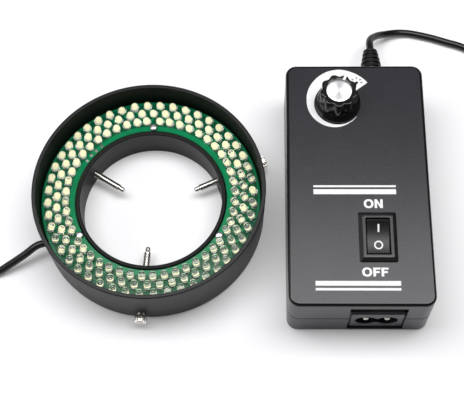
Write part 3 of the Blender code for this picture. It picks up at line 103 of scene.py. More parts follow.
def noise(place, spacing, detail, roughness=0.5):
    """Cloudy noise over a place, with its spots about a spacing in millimetres apart.

    Like the three functions below, it adds its node to the tree of the socket that it is given.
    """
    settings = {"Scale": 1000 / spacing, "Detail": detail, "Roughness": roughness}
    return add_node(place.id_data, "TexNoise", settings, {"Vector": place}).outputs[0]


def ranged(value, low, high, start=0, end=1):
    """Carries a value's range from start to end over to the range from low to high."""
    settings = {"From Min": start, "From Max": end, "To Min": low, "To Max": high}
    return add_node(value.id_data, "MapRange", settings, {"Value": value}).outputs[0]


def blended(colour, other, share):
    """A colour that gives way to another one by a share."""
    settings = {"data_type": "RGBA", 6: linear(colour), 7: linear(other)}
    return add_node(share.id_data, "Mix", settings, {0: share}).outputs[2]


def relief(height, strength, depth):
    """Fine relief with a depth in millimetres."""
    settings = {"Strength": strength, "Distance": depth / 1000}
    return add_node(height.id_data, "Bump", settings, {"Height": height}).outputs[0]


def show(tree, settings, links):
    """Gives a material its surface."""
    surface = add_node(tree, "BsdfPrincipled", settings, links)
    add_node(tree, "OutputMaterial", {}, {0: surface.outputs[0]})


def moulded_plastic(name, colour, cloud_colour, roughness, grain, depth, shine=0.5):
    """Plastic with the fine grain of its mould, and cloudy by a shade."""
    made, tree, place = new_material(name)
    cloudy = ranged(noise(place, 14, 3), 0, 1, 0.3, 0.7)
    grit = noise(place, grain, 2, 0.6)
    show(tree, {"IOR": 1.48, "Specular IOR Level": shine}, {
        "Base Color": blended(colour, cloud_colour, cloudy),
        "Roughness": ranged(grit, roughness - 0.04, roughness + 0.04, 0.3, 0.7),
        "Normal": relief(grit, 0.6, depth),
    })
    return made


def polar(reach, angle):
    """The point (x, y) at a distance from the middle and an angle in radians."""
    return reach * math.cos(angle), reach * math.sin(angle)


def circle(radius, sides):
    """Points of a round outline, counterclockwise."""
    return [polar(radius, 2 * math.pi * step / sides) for step in range(sides)]


def eased(corners, closed=True, steps=4):
    """Outline through corners (x, y, ease): each corner is rounded off from that far along its sides."""
    points = []
    for index, (x, y, ease) in enumerate(corners):
        here = Vector((x, y))
        if ease == 0 or (not closed and index in (0, len(corners) - 1)):
            points.append(tuple(here))
            continue
        start = here + (Vector(corners[index - 1][:2]) - here).normalized() * ease
        end = here + (Vector(corners[(index + 1) % len(corners)][:2]) - here).normalized() * ease
        for step in range(steps + 1):
            share = step / steps
            points.append(tuple(start.lerp(here, share).lerp(here.lerp(end, share), share)))
    return points


def add_loft(mesh, loops, closed=False):
    """Skins a stack of loops with equal counts, and caps both ends or joins them."""
    rings = [[mesh.verts.new(point) for point in loop] for loop in loops]
    pairs = list(zip(rings, rings[1:]))
    if closed:
        pairs.append((rings[-1], rings[0]))
    for lower, upper in pairs:
        for index, corner in enumerate(lower):
            following = (index + 1) % len(lower)
            mesh.faces.new((corner, lower[following], upper[following], upper[index]))
    if not closed:
        mesh.faces.new(reversed(rings[0]))
        mesh.faces.new(rings[-1])


def raised(outline, height, place=Matrix.Identity(4)):
    """Loop of an outline at a height over the place's XY plane."""
    return [place @ Vector((x, y, height)) for x, y in outline]


def add_turned(mesh, profile, sides, place, closed=False):
    """Turns a profile of (radius, height) points about the place's Z axis."""
    add_loft(mesh, [raised(circle(radius, sides), height, place) for radius, height in profile], closed)


def add_plate(mesh, outline, low, high, place=Matrix.Identity(4)):
    """Raises an outline of the place's XY plane from one height to another."""
    add_loft(mesh, [raised(outline, height, place) for height in (low, high)])


def add_block(mesh, low, high, place=Matrix.Identity(4)):
    """A square-cornered block for cutting with, or for joining on."""
    outline = ((low[0], low[1]), (high[0], low[1]), (high[0], high[1]), (low[0], high[1]))
    add_plate(mesh, outline, low[2], high[2], place)


def turned(angle, axis="Z"):
    """Rotation by an angle in degrees."""
    return Matrix.Rotation(math.radians(angle), 4, axis)


def on_ring(angle, distance=0.0, height=0.0):
    """Place on the ring: local X points outward at an angle in degrees, and Z points up."""
    return Matrix.Translation(RING_CENTRE) @ turned(angle) @ Matrix.Translation((distance, 0, height))


def in_metres(name, mesh):
    """Turns a mesh drawn in millimetres into mesh data in metres, with its faces turned outward."""
    bmesh.ops.recalc_face_normals(mesh, faces=mesh.faces)
    bmesh.ops.scale(mesh, vec=(0.001, 0.001, 0.001), verts=mesh.verts)
    data = bpy.data.meshes.new(name)
    mesh.to_mesh(data)
    mesh.free()
    return data


def placed(name, data):
    """A new object in the scene."""
    made = bpy.data.objects.new(name, data)
    bpy.context.scene.collection.objects.link(made)
    return made


def smooth(piece):
    """Shades a piece smooth up to creases of 32 degrees, and keeps its large flat faces flat."""
    piece.data.shade_smooth()
    piece.data.set_sharp_from_angle(angle=math.radians(32))
    piece.modifiers.new("flat_faces", "WEIGHTED_NORMAL").keep_sharp = True


def finish_piece(name, mesh, materials, body="ring_box_and_cord", stands_for=None):
    """Makes a drawn mesh into a piece that rides on a body.

    It stands for the nodes that are named, or else for the node of its own name, where there is one.
    """
    piece = placed(name, in_metres(name, mesh))
    for material in materials:
        piece.data.materials.append(material)
    smooth(piece)
    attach(piece, body)
    replaced = stands_for or ([name] if name in cad_nodes else [])
    if replaced:
        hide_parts(*replaced)
    return piece


def work_on(piece, tool_mesh, operation):
    """Joins a drawn mesh to a piece (UNION), or cuts it out of the piece (DIFFERENCE)."""
    tool = placed("tool", in_metres("tool", tool_mesh))
    piece.modifiers.clear()
    modifier = piece.modifiers.new("work", "BOOLEAN")
    modifier.operation = operation
    modifier.solver = "EXACT"
    modifier.object = tool
    worked = piece.evaluated_get(bpy.context.evaluated_depsgraph_get())
    old = piece.data
    piece.data = bpy.data.meshes.new_from_object(worked)
    piece.modifiers.clear()
    bpy.data.meshes.remove(old)
    bpy.data.meshes.remove(tool.data)
    smooth(piece)


# Spark-eroded grain is about 0.1 mm: it is drawn at 0.4 mm, the finest that shows here.
black_abs = moulded_plastic("black_abs_spark_eroded", "#111113", "#161618", 0.42, 0.4, 0.02, 0.3)

housing_profile = eased((
    (29.75, 0, 0.3), (47.2, 0, 2.2), (RING_RADIUS, 27, 0.6), (46.3, 27, 0.3), (46.3, 13.1, 0),
    (45.5, 2, 0.4), (31.25, 2, 0.4), (31.25, 15.4, 0.15), (29.75, 15.4, 0.5),
))
# Inside the channel and on the bore's rim the plastic is coloured blacker than the rest: painted shade. There
# its grain is also deeper, and it is rougher and less shiny.
channel_abs_painted_shade = moulded_plastic("black_abs_painted_shade", "#040404", "#060606", 0.5, 0.4, 0.03, 0.2)
mesh = bmesh.new()
add_turned(mesh, housing_profile, RING_SIDES, Matrix.Translation(RING_CENTRE), closed=True)
for face in mesh.faces:
    middle = face.calc_center_median() - RING_CENTRE
    in_channel = 31.2 < middle.xy.length < 46.4 and 1.9 < middle.z < 26.8
    on_bore_rim = middle.xy.length < 31.4 and middle.z > 14.2
    face.material_index = int(in_channel or on_bore_rim)
housing = finish_piece("ring_housing", mesh, [black_abs, channel_abs_painted_shade])

seats = bmesh.new()
for angle in BOARD_SCREW_ANGLES:
    add_plate(seats, circle(2.2, 24), 1.8, 13.1, on_ring(angle, BOARD_SCREW_CIRCLE))
for angle in THUMBSCREW_ANGLES:
    add_block(seats, (30.5, -3, 1.8), (46.35, 3, 9.0), on_ring(angle))
work_on(housing, seats, "UNION")

openings = bmesh.new()
lying = turned(90, "Y")
for angle in BOARD_SCREW_ANGLES:
    add_plate(openings, circle(0.95, 20), 7.1, 15.0, on_ring(angle, BOARD_SCREW_CIRCLE))
for angle in THUMBSCREW_ANGLES:
    add_plate(openings, circle(1.75, 32), 28.5, 49.0, on_ring(angle, 0, THUMBSCREW_HEIGHT) @ lying)
add_plate(openings, circle(1.85, 32), 45.0, 49.0, on_ring(CORD_HOLE_ANGLE, 0, CORD_HOLE_HEIGHT) @ lying)
work_on(housing, openings, "DIFFERENCE")

# Marks of the mould on the closed back
# The mould's round ejector pins push the warm moulding out and leave shallow round dents there.
pins = bmesh.new()
for angle in range(15, 375, 60):
    add_plate(pins, circle(2.4, 32), -1.0, 0.12, on_ring(angle, 38.5))
work_on(housing, pins, "DIFFERENCE")

# Lamp board
# A ring of glass-fibre laminate under glossy green solder mask. The copper, broad round the inner
# edge, shows through the mask paler and slightly raised. The sawn edges are bare yellowish laminate.
BOARD_TOP = 15.0
TRACK_LOW = BOARD_TOP - 0.05
TRACK_HIGH = BOARD_TOP + 0.05
TRACK_WIDTH = 0.9
LAMPS_PER_CIRCLE = 48
LAMP_CIRCLES = (35.07, 38.775, 42.48)
SHIFT_FROM_SCREW = 0.9


def solder_mask(name, colour, deeper):
    """Green epoxy ink, screened over the board: glossy, and a shade deeper where it lies thick."""
    made, tree, place = new_material(name)
    flow = noise(place, 5, 3)
    show(tree, {"IOR": 1.55, "Specular IOR Level": 0.15}, {
        "Base Color": blended(colour, deeper, ranged(flow, 0, 1, 0.3, 0.7)),
        "Roughness": ranged(flow, 0.1, 0.18),
        "Normal": relief(noise(place, 0.6, 1), 0.4, 0.02),
    })
    return made


def lamp_angles(circle_index):
    """Angles of one circle's lamps in degrees: the middle circle is staggered by half a pitch.

    On the inner circle, the lamps beside a board screw stand a little further away from it.
    """
    pitch = 360 / LAMPS_PER_CIRCLE
    angles = []
    for index in range(LAMPS_PER_CIRCLE):
        angle = pitch * index + (0 if circle_index == 1 else pitch / 2)
        for screw_angle in BOARD_SCREW_ANGLES:
            offset = (angle - screw_angle + 180) % 360 - 180
            if circle_index == 0 and abs(offset) < pitch:
                angle += math.copysign(SHIFT_FROM_SCREW, offset)
        angles.append(angle)
    return angles


def ring_point(angle, distance):
    """Point seen from the ring's centre, at an angle in degrees and a distance."""
    return Vector((*polar(distance, math.radians(angle)), 0))


def add_track(mesh, start, end):
    """One straight track between two points seen from the ring's centre."""
    side = Vector((start.y - end.y, end.x - start.x, 0)).normalized() * TRACK_WIDTH / 2
    outline = [tuple(point.xy) for point in (start - side, end - side, end + side, start + side)]
    add_plate(mesh, outline, TRACK_LOW, TRACK_HIGH, Matrix.Translation(RING_CENTRE))


# Between the lamps the mask is coloured a deep, dark green: painted shade. Over the copper it is really
# paler.
green_mask_painted_shade = solder_mask("green_solder_mask_painted_shade", "#06583a", "#054d31")
masked_copper = solder_mask("solder_mask_over_copper", "#0a8452", "#08774a")
bare_laminate = moulded_plastic("bare_glass_fibre_laminate", "#8c8b58", "#a3a06c", 0.6, 0.5, 0.03)
board_edge = BOARD_TOP - 0.12
mesh = bmesh.new()
board_profile = eased(((31.65, 13.4, 0), (31.65, board_edge, 0), (31.7, BOARD_TOP, 0.06),
                       (45.85, BOARD_TOP, 0.06), (45.9, board_edge, 0), (45.9, 13.4, 0)))
add_turned(mesh, board_profile, RING_SIDES, Matrix.Translation(RING_CENTRE), closed=True)
for face in mesh.faces:
    face.material_index = int(all(vert.co.z > board_edge - 0.01 for vert in face.verts))
board = finish_piece("led_board", mesh, [bare_laminate, green_mask_painted_shade])
holes = bmesh.new()
for angle in BOARD_SCREW_ANGLES:
    add_plate(holes, circle(1.1, 24), 12.0, 16.0, on_ring(angle, BOARD_SCREW_CIRCLE))
work_on(board, holes, "DIFFERENCE")

mesh = bmesh.new()
for inner, outer in ((31.95, 34.1), (44.7, 45.4)):
    rim = eased(((inner, TRACK_LOW, 0), (inner, TRACK_HIGH, 0.04),
                 (outer, TRACK_HIGH, 0.04), (outer, TRACK_LOW, 0)))
    add_turned(mesh, rim, RING_SIDES, Matrix.Translation(RING_CENTRE), closed=True)
for inner, middle, outer in zip(*(lamp_angles(index) for index in range(3))):
    add_track(mesh, ring_point(inner, 35.8), ring_point(middle, 38.0))
    add_track(mesh, ring_point(middle, 39.5), ring_point(outer, 41.8))
    add_track(mesh, ring_point(outer, 43.2), ring_point(outer + 1, 44.9))
finish_piece("board_tracks", mesh, [masked_copper])

# Solder joints of the cord's wires
# Four pads at the inner edge, wetted with tin solder that has set in low shiny domes.
solder, tree, place = new_material("tin_solder")
frost = noise(place, 0.5, 2)
show(tree, {"Metallic": 1.0}, {"Base Color": blended("#c9cbcc", "#a3a5a6", frost),
                               "Roughness": ranged(frost, 0.12, 0.4)})
mesh = bmesh.new()
for angle in (131.5, 137.0, 142.0, 147.5):
    profile = ((0.8, -0.05), (0.8, 0.03), (0.62, 0.06), (0.5, 0.2), (0.28, 0.36), (0.08, 0.42))
    add_turned(mesh, profile, 20, on_ring(angle, 33.0, BOARD_TOP))
finish_piece("solder_joints", mesh, [solder])

# White lamps
# 144 round 3 mm LEDs. Each is clear epoxy cast with a flange and a domed end over two tinned leads,
# and one lead carries a bright cup filled with cream phosphor. Soldered by hand, they lean towards
# the lens a little unevenly. The dome magnifies the cup when it is looked at end on.
LAMP_HEIGHT = 4.9
LAMP_RADIUS = 1.42
LAMP_LEAN = 13.0

clear_epoxy, tree, place = new_material("clear_cast_epoxy")
ripple = noise(place, 1.2, 1)
body = add_node(tree, "BsdfPrincipled",
                {"Base Color": linear("#f8faf6"), "IOR": 1.53, "Transmission Weight": 1.0},
                {"Roughness": ranged(ripple, 0.01, 0.05), "Normal": relief(ripple, 0.1, 0.03)})
# Light that only passes through on its way to the phosphor isn't bent: the cup glows evenly.
through = add_node(tree, "BsdfTransparent", {"Color": linear("#eef0ea")})
passing = add_node(tree, "LightPath").outputs["Is Shadow Ray"]
surface = add_node(tree, "MixShader", {}, {0: passing, 1: body.outputs[0], 2: through.outputs[0]})
add_node(tree, "OutputMaterial", {}, {0: surface.outputs[0]})

phosphor, tree, place = new_material("cream_phosphor")
powder = noise(place, 1.5, 3)
show(tree, {"Roughness": 0.7}, {"Base Color": blended("#f6f1cf", "#ece5bb", powder),
                                "Normal": relief(powder, 0.3, 0.05)})

# The base round the leads is coloured white: a painted highlight, standing for the bright edges of the lamps'
# flanges.
lamp_base_painted_highlight = moulded_plastic("white_epoxy_painted_highlight", "#e9e8df", "#f4f3ec", 0.5, 0.5, 0.01)
dome_start = LAMP_HEIGHT - LAMP_RADIUS
epoxy_profile = [(1.86, 0.0), (1.9, 0.08), (1.9, 0.7), (1.82, 0.8), (LAMP_RADIUS + 0.02, 0.85)]
for step in range(7):
    across, up = polar(LAMP_RADIUS, math.radians(88 * step / 6))
    epoxy_profile.append((across, dome_start + up))
cup_profile = ((0.3, 0.6), (0.35, 1.0), (0.85, 1.55), (0.95, 1.75), (0.88, 1.75))
phosphor_profile = ((0.3, 1.5), (0.86, 1.6), (0.87, 1.77), (0.5, 1.86), (0.1, 1.88))
epoxy_mesh = bmesh.new()
cup_mesh = bmesh.new()
phosphor_mesh = bmesh.new()
base_mesh = bmesh.new()
by_hand = random.Random(7)
for circle_index, distance in enumerate(LAMP_CIRCLES):
    for angle in lamp_angles(circle_index):
        lean = turned(-LAMP_LEAN + by_hand.uniform(-3, 3), "Y")
        sway = turned(by_hand.uniform(-3, 3), "X")
        place = on_ring(angle, distance + 0.75, BOARD_TOP + 0.3 + by_hand.uniform(0, 0.15)) @ lean @ sway
        add_turned(epoxy_mesh, epoxy_profile, 24, place)
        add_turned(cup_mesh, cup_profile, 16, place)
        add_turned(phosphor_mesh, phosphor_profile, 16, place)
        add_turned(base_mesh, ((1.1, 0.2), (1.2, 0.3), (1.2, 1.0), (1.05, 1.2)), 16, place)
        for lead in (-0.65, 0.65):
            add_block(cup_mesh, (-0.22, lead - 0.25, -0.6), (0.22, lead + 0.25, 0.85), place)
        add_block(cup_mesh, (-0.22, -0.5, 0.5), (0.22, 0.5, 0.8), place)
lamp_parts = (("lamp_epoxy", epoxy_mesh, clear_epoxy), ("lamp_leads", cup_mesh, solder),
              ("lamp_bases", base_mesh, lamp_base_painted_highlight), ("lamp_phosphor", phosphor_mesh, phosphor))
for name, mesh, material in lamp_parts:
    finish_piece(name, mesh, [material], stands_for=["led_board"])

# Board screws
# Three small pan-head screws of zinc-plated steel with a cross recess, turned down on the board.
# The plating is thin and bright with a slight blue cast.


def plated_metal(name, colour, duller, roughness, scratch):
    """Plated metal: bright, clouded by handling, with fine scratches at a spacing in millimetres."""
    made, tree, place = new_material(name)
    touch = noise(place, 4, 3)
    show(tree, {"Metallic": 1.0}, {
        "Base Color": blended(colour, duller, ranged(touch, 0, 1, 0.35, 0.75)),
        "Roughness": ranged(touch, roughness, roughness + 0.12, 0.3, 0.7),
        "Normal": relief(noise(place, scratch, 2), 0.25, 0.01),
    })
    return made


def cut_cross(screw, reach, width, low, high, place):
    """Cuts a cross recess in a screw's head, with one plus-shaped cutter."""
    half = width / 2
    outline = []
    for quarter in range(4):
        spin = Matrix.Rotation(math.radians(90 * quarter), 2)
        outline += [tuple(spin @ Vector(corner)) for corner in ((half, half), (half, reach), (-half, reach))]
    recess = bmesh.new()
    add_plate(recess, outline, low, high, place)
    work_on(screw, recess, "DIFFERENCE")


zinc_plate = plated_metal("zinc_plated_steel", "#e2e3e6", "#bfc1c5", 0.22, 0.3)
for number, angle in enumerate(BOARD_SCREW_ANGLES, 1):
    place = on_ring(angle, BOARD_SCREW_CIRCLE, BOARD_TOP + 0.3)
    mesh = bmesh.new()
    head = ((0.8, 0.0, 0), (1.6, 0.0, 0.08), (1.6, 0.55, 0.3), (1.0, 0.95, 0.3), (0.1, 1.0, 0))
    add_turned(mesh, [(0.55, -6.0), (0.8, -5.6)] + eased(head, closed=False), 32, place)
    screw = finish_piece(f"board_screw_{number}", mesh, [zinc_plate])
    cut_cross(screw, 0.85, 0.28, 0.45, 1.5, place @ turned(25 * number))

# Thumbscrews
# Three M3 screws of nickel-plated brass, one longer than the others, with a knurled head, a collar
# and a turned-down point. They run through both walls of the ring and clamp it on a microscope.
THREAD_PITCH = 0.5
THREAD_DEPTH = 0.1
THREAD_SIDES = 24
KNURLS = 26
KNURL_SIDES = 4 * KNURLS


def add_thread(mesh, place, start, end, radius):
    """A rod with a real helical thread, closed at both ends."""
    loops = []
    stations = int((end - start) / THREAD_PITCH * 8)
    for station in range(stations + 1):
        height = start + (end - start) * station / stations
        run_out = min((height - start) / 0.4, (end - height) / 0.4, 1)
        loop = []
        for side in range(THREAD_SIDES):
            phase = (height / THREAD_PITCH - side / THREAD_SIDES) % 1
            reach = radius - THREAD_DEPTH * run_out * max(2 * abs(2 * phase - 1) - 1, 0)
            loop.append(polar(reach, 2 * math.pi * side / THREAD_SIDES))
        loops.append(raised(loop, height, place))
    add_loft(mesh, loops)


def knurl(radius, depth):
    """Outline of a straight knurl, rolled between two wheels: rounded ridges, narrow grooves."""
    reaches = [radius - depth * (step % 4 == 0) for step in range(KNURL_SIDES)]
    return [polar(reach, 2 * math.pi * step / KNURL_SIDES) for step, reach in enumerate(reaches)]


nickel_plate = plated_metal("bright_nickel_plate", "#ece9e4", "#cbc7c0", 0.14, 0.4)
head = ((2.05, 0, 0.5), (2.2, 0, 0.52), (2.45, 0.1, 0.75), (2.5, 0.22, 0.9), (2.5, 0.22, 2.95),
        (2.42, 0.1, 3.12), (2.2, 0, 3.28), (2.0, 0, 3.3), (1.2, 0, 3.22))
screws = (("right_thumbscrew", 29.9, 1.3), ("left_thumbscrew", 33.5, 0.2), ("near_thumbscrew", 29.9, 0.2))
for number, (angle, (body_name, length, standoff)) in enumerate(zip(THUMBSCREW_ANGLES, screws), 1):
    place = on_ring(angle, RING_RADIUS + standoff, THUMBSCREW_HEIGHT) @ lying
    mesh = bmesh.new()
    point = ((0.35, -length, 0), (0.75, -length, 0.1), (1.05, 0.5 - length, 0.2), (1.05, 2.0 - length, 0.2),
             (1.3, 2.5 - length, 0.1), (1.3, 3.2 - length, 0))
    add_turned(mesh, eased(point, closed=False), 32, place)
    add_thread(mesh, place, 2.6 - length, -0.4, 1.5)
    add_turned(mesh, ((1.3, -0.9), (1.3, 0.0), (1.9, 0.0), (2.0, 0.1), (2.0, 0.6)), 32, place)
    add_loft(mesh, [raised(knurl(radius, depth), height, place) for radius, depth, height in head])
    finish_piece(f"thumbscrew_{number}", mesh, [nickel_plate], body_name)

# Control box
# Two shells of dark grey ABS that meet at a fine parting line with a lip inside. The cover has a
# softly rounded top edge and openings for the dimmer and the switch, and the front a notch for
# the inlet. The shells share the same eroded grain.
BOX_WIDTH = 57.5
BOX_LENGTH = 107.0
BOX_HEIGHT = 30.5
BOX_CORNER = 4.5
SWITCH_PLACE = Vector((6.9, -24.9, 0))
DIMMER_PLACE = Vector((-7.4, 35.0, 0))
CORD_OUTLET = Matrix.Translation((9.2, 53.5, 14.4)) @ turned(-90, "X")
COVER_EDGE = 1.3
CASE_SCREW_PLACES = [Matrix.Translation((x, y, 0)) for y in (-48.3, 48.3) for x in (-23.55, 23.55)]


def rounded_rectangle(width, length, corner, steps=12):
    """Outline of a rectangle with round corners, counterclockwise."""
    points = []
    for quarter, (side_x, side_y) in enumerate(((1, 1), (-1, 1), (-1, -1), (1, -1))):
        for step in range(steps + 1):
            across, up = polar(corner, math.pi / 2 * (quarter + step / steps))
            points.append((side_x * (width / 2 - corner) + across, side_y * (length / 2 - corner) + up))
    return points


def add_shell(mesh, stations):
    """Lofts loops round the box, each drawn in by an inset and at a height."""
    loops = []
    for inset, height in stations:
        outline = rounded_rectangle(BOX_WIDTH - 2 * inset, BOX_LENGTH - 2 * inset, BOX_CORNER - inset)
        loops.append(raised(outline, height))
    add_loft(mesh, loops)


def shell_openings():
    """What both shells leave open: the notch of the inlet and the hole of the strain relief."""
    tool = bmesh.new()
    add_block(tool, (-4.4, -55, 1.6), (18.2, -51.2, 26.5))
    add_plate(tool, circle(3.7, 40), -3.0, 1.0, CORD_OUTLET)
    return tool


grey_abs = moulded_plastic("dark_grey_abs_spark_eroded", "#29292e", "#2d2d32", 0.25, 0.5, 0.02, 0.43)
# The rounded top edges are coloured near black: a painted dark reflection of the dim room. Their grain is
# also much shallower, and they are a little smoother.
edge_abs_painted_dark = moulded_plastic("dark_grey_abs_painted_dark_edge", "#0c0c0e", "#101012", 0.2, 1.0, 0.004)
mesh = bmesh.new()
stations = [(2.0, 28.5), (2.0, 15.9), (0.9, 15.9), (0.9, 14.55), (0.15, 14.55), (0.02, 14.7), (0, 15.0)]
for step in range(8):
    angle = math.radians(90 * step / 7)
    stations.append((COVER_EDGE * (1 - math.cos(angle)), BOX_HEIGHT - COVER_EDGE * (1 - math.sin(angle))))
add_shell(mesh, stations)
for face in mesh.faces:
    heights = [vert.co.z for vert in face.verts]
    on_edge = max(heights) > BOX_HEIGHT - COVER_EDGE + 0.01 and max(heights) - min(heights) > 0.01
    face.material_index = int(on_edge)
cover = finish_piece("upper_case", mesh, [grey_abs, edge_abs_painted_dark])
bosses = bmesh.new()
openings = bmesh.new()
for place in CASE_SCREW_PLACES:
    add_plate(bosses, circle(2.8, 32), 14.55, 28.7, place)
    add_plate(openings, circle(1.6, 24), 14.0, 22.3, place)
add_block(openings, (-6.6, -9.6, 27.5), (6.6, 9.6, 31.5), Matrix.Translation(SWITCH_PLACE))
add_plate(openings, circle(3.8, 40), 27.5, 31.5, Matrix.Translation(DIMMER_PLACE))
work_on(cover, bosses, "UNION")
work_on(cover, openings, "DIFFERENCE")
work_on(cover, shell_openings(), "DIFFERENCE")

mesh = bmesh.new()
add_shell(mesh, ((2.0, 1.6), (2.0, 15.45), (1.2, 15.45), (1.2, 14.25), (0.15, 14.25),
                 (0.02, 14.1), (0, 13.8), (0, 0.5), (0.15, 0.15), (0.5, 0)))
tray = finish_piece("lower_case", mesh, [grey_abs])
bosses = bmesh.new()
wells = bmesh.new()
for place in CASE_SCREW_PLACES:
    add_plate(bosses, circle(3.8, 32), 1.4, 14.25, place)
    add_turned(wells, ((2.8, -1.0), (2.8, 4.0), (1.6, 4.0), (1.6, 15.0)), 32, place)
board_low, board_high = (Vector(corner) * 1000 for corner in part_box("power_board"))
for x in (board_low.x + 4.5, board_high.x - 4.5):
    for y in (board_low.y + 4.5, board_high.y - 4.5):
        post = ((2.2, 1.4), (2.2, 5.3), (0.9, 5.3), (0.9, 8.2))
        add_turned(bosses, post, 24, Matrix.Translation((x, y, 0)))
work_on(tray, bosses, "UNION")
work_on(tray, wells, "DIFFERENCE")
work_on(tray, shell_openings(), "DIFFERENCE")

# Case screws
# Four self-tapping pan-head screws of zinc-plated steel, sunk in wells under the box.
for number, well in enumerate(CASE_SCREW_PLACES, 1):
    place = well @ Matrix.Translation((0, 0, 3.7)) @ turned(180, "X")
    mesh = bmesh.new()
    head = ((1.3, 0.0, 0), (2.5, 0.0, 0.1), (2.5, 0.9, 0.5), (1.6, 1.6, 0.5), (0.1, 1.7, 0))
    add_turned(mesh, eased(head, closed=False), 32, place)
    add_thread(mesh, place, -17.5, 0.1, 1.3)
    screw = finish_piece(f"case_screw_{number}", mesh, [zinc_plate])
    cut_cross(screw, 1.5, 0.45, 0.6, 2.5, place @ turned(30 * number))

# Power board and what stands on it
# A tan phenolic-paper board, pinned on four posts inside the box, carries the small transformer,
# two electrolytic capacitors in blue sleeves and a finned sink of extruded aluminium.


def paint_node(node, material):
    """Gives a solid that is kept from the model its material."""
    for slot in cad_nodes[node].material_slots:
        slot.material = material


tan_board, tree, place = new_material("phenolic_paper_board")
stretched = add_node(tree, "Mapping", {"Scale": (1.0, 0.2, 1.0)}, {"Vector": place}).outputs[0]
fibre = noise(stretched, 0.8, 4)
show(tree, {"Roughness": 0.5}, {"Base Color": blended("#b08a4e", "#8f6a36", fibre),
                                "Normal": relief(fibre, 0.3, 0.03)})
paint_node("power_board", tan_board)

# Sintered ferrite is a dull charcoal ceramic with fine pores and chipped edges.
paint_node("transformer_core", moulded_plastic("sintered_ferrite", "#2b2a2b", "#3a3839", 0.6, 0.3, 0.05))

# Polyester tape is thin, glossy and yellow, wound in layers whose edges show as fine lines.
tape, tree, place = new_material("yellow_polyester_tape")
layers = add_node(tree, "TexWave", {"bands_direction": "Z", "Scale": 1000 / 3.2 / 2, "Distortion": 0.4},
                  {"Vector": place}).outputs["Fac"]
show(tree, {"Roughness": 0.28}, {"Base Color": blended("#d9b33a", "#b98f1f", layers),
                                 "Normal": relief(layers, 0.3, 0.05)})
paint_node("transformer_winding", tape)


def can_in_sleeve(name, top):
    """Shrunk blue vinyl on the side of a capacitor, and its bare aluminium end above a height."""
    made, tree, place = new_material(name)
    height = add_node(tree, "SeparateXYZ", {}, {0: place}).outputs["Z"]
    cloud = noise(place, 2, 3)
    sleeve = add_node(tree, "BsdfPrincipled", {"Roughness": 0.3},
                      {"Base Color": blended("#1c2a4f", "#263766", cloud)})
    end = add_node(tree, "BsdfPrincipled", {"Roughness": 0.35, "Metallic": 1.0},
                   {"Base Color": blended("#c4c6c8", "#a9abad", cloud)})
    bare = ranged(height, 0, 1, top - 0.0002, top - 0.0001)
    surface = add_node(tree, "MixShader", {}, {0: bare, 1: sleeve.outputs[0], 2: end.outputs[0]})
    add_node(tree, "OutputMaterial", {}, {0: surface.outputs[0]})
    return made


for node in ("input_capacitor", "output_capacitor"):
    paint_node(node, can_in_sleeve("vinyl_sleeve_of_" + node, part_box(node)[1][2]))

# Extruded aluminium has faint lines along the way it left the die, drawn 0.5 mm apart.
extrusion, tree, place = new_material("extruded_aluminium")
drawn = add_node(tree, "Mapping", {"Scale": (1.0, 1.0, 0.03)}, {"Vector": place}).outputs[0]
lines = noise(drawn, 0.5, 3)
show(tree, {"Metallic": 1.0}, {
    "Base Color": blended("#c3c5c7", "#9b9d9f", lines),
    "Roughness": ranged(lines, 0.25, 0.5),
    "Normal": relief(lines, 0.3, 0.02),
})
paint_node("heat_sink", extrusion)

# Dimmer
# A panel potentiometer in a phenolic body, held by a nickel-plated nut. Its fluted phenolic knob is
# glossy black, with a spun aluminium disc pressed in its top, and a set screw grips the shaft.
KNOB_FLUTES = 9
KNOB_LOW = 31.1
POINTER_ANGLE = 67.5
knob_place = Matrix.Translation(DIMMER_PLACE)

paint_node("potentiometer_body", moulded_plastic("brown_phenolic", "#2a2320", "#352b26", 0.45, 0.5, 0.02))
paint_node("potentiometer_nut", plated_metal("nickel_plated_nut", "#cfccc4", "#aaa69c", 0.2, 0.3))
paint_node("potentiometer_shaft", plated_metal("turned_brass_shaft", "#cdbd93", "#a8966b", 0.22, 0.25))


def flutes(radius, depth, height):
    """Loop of the knob's grip: nine round lobes between shallow flutes."""
    count = 12 * KNOB_FLUTES
    outline = []
    for index in range(count):
        swing = (1 - math.cos(2 * math.pi * index / 12)) / 2
        angle = math.radians(POINTER_ANGLE) + 2 * math.pi * index / count
        outline.append(polar(radius - depth * swing ** 1.3, angle))
    return raised(outline, height, knob_place)


knob_phenolic = moulded_plastic("glossy_black_phenolic", "#0c0c0d", "#121213", 0.2, 0.5, 0.004)
stations = ((3.3, 0, 40.1), (3.3, 0, 33.9), (6.6, 0, 33.9), (6.6, 0, KNOB_LOW), (9.3, 0, KNOB_LOW),
            (9.45, 0, 31.18), (9.5, 0, 31.35), (9.5, 0, 31.75), (9.42, 0, 31.95), (9.2, 0, 32.15),
            (8.9, 0, 32.45), (8.6, 0, 32.9), (8.35, 0, 33.4), (8.15, 0, 33.9), (8.0, 0.1, 34.2),
            (7.9, 0.7, 34.45), (7.85, 0.95, 34.7), (7.8, 0.95, 41.0), (7.76, 0.94, 41.25), (7.62, 0.92, 41.4),
            (7.2, 0.86, 41.58), (7.0, 0.8, 41.6), (5.5, 0, 41.55), (5.4, 0, 41.5), (5.4, 0, 41.2))
mesh = bmesh.new()
add_loft(mesh, [flutes(*station) for station in stations])
knob = finish_piece("dimmer_knob", mesh, [knob_phenolic], "dimmer")
set_screw_place = knob_place @ turned(179.5) @ Matrix.Translation((0, 0, 37.2)) @ lying
hole = bmesh.new()
add_plate(hole, circle(1.65, 28), 2.0, 9.0, set_screw_place)
work_on(knob, hole, "DIFFERENCE")

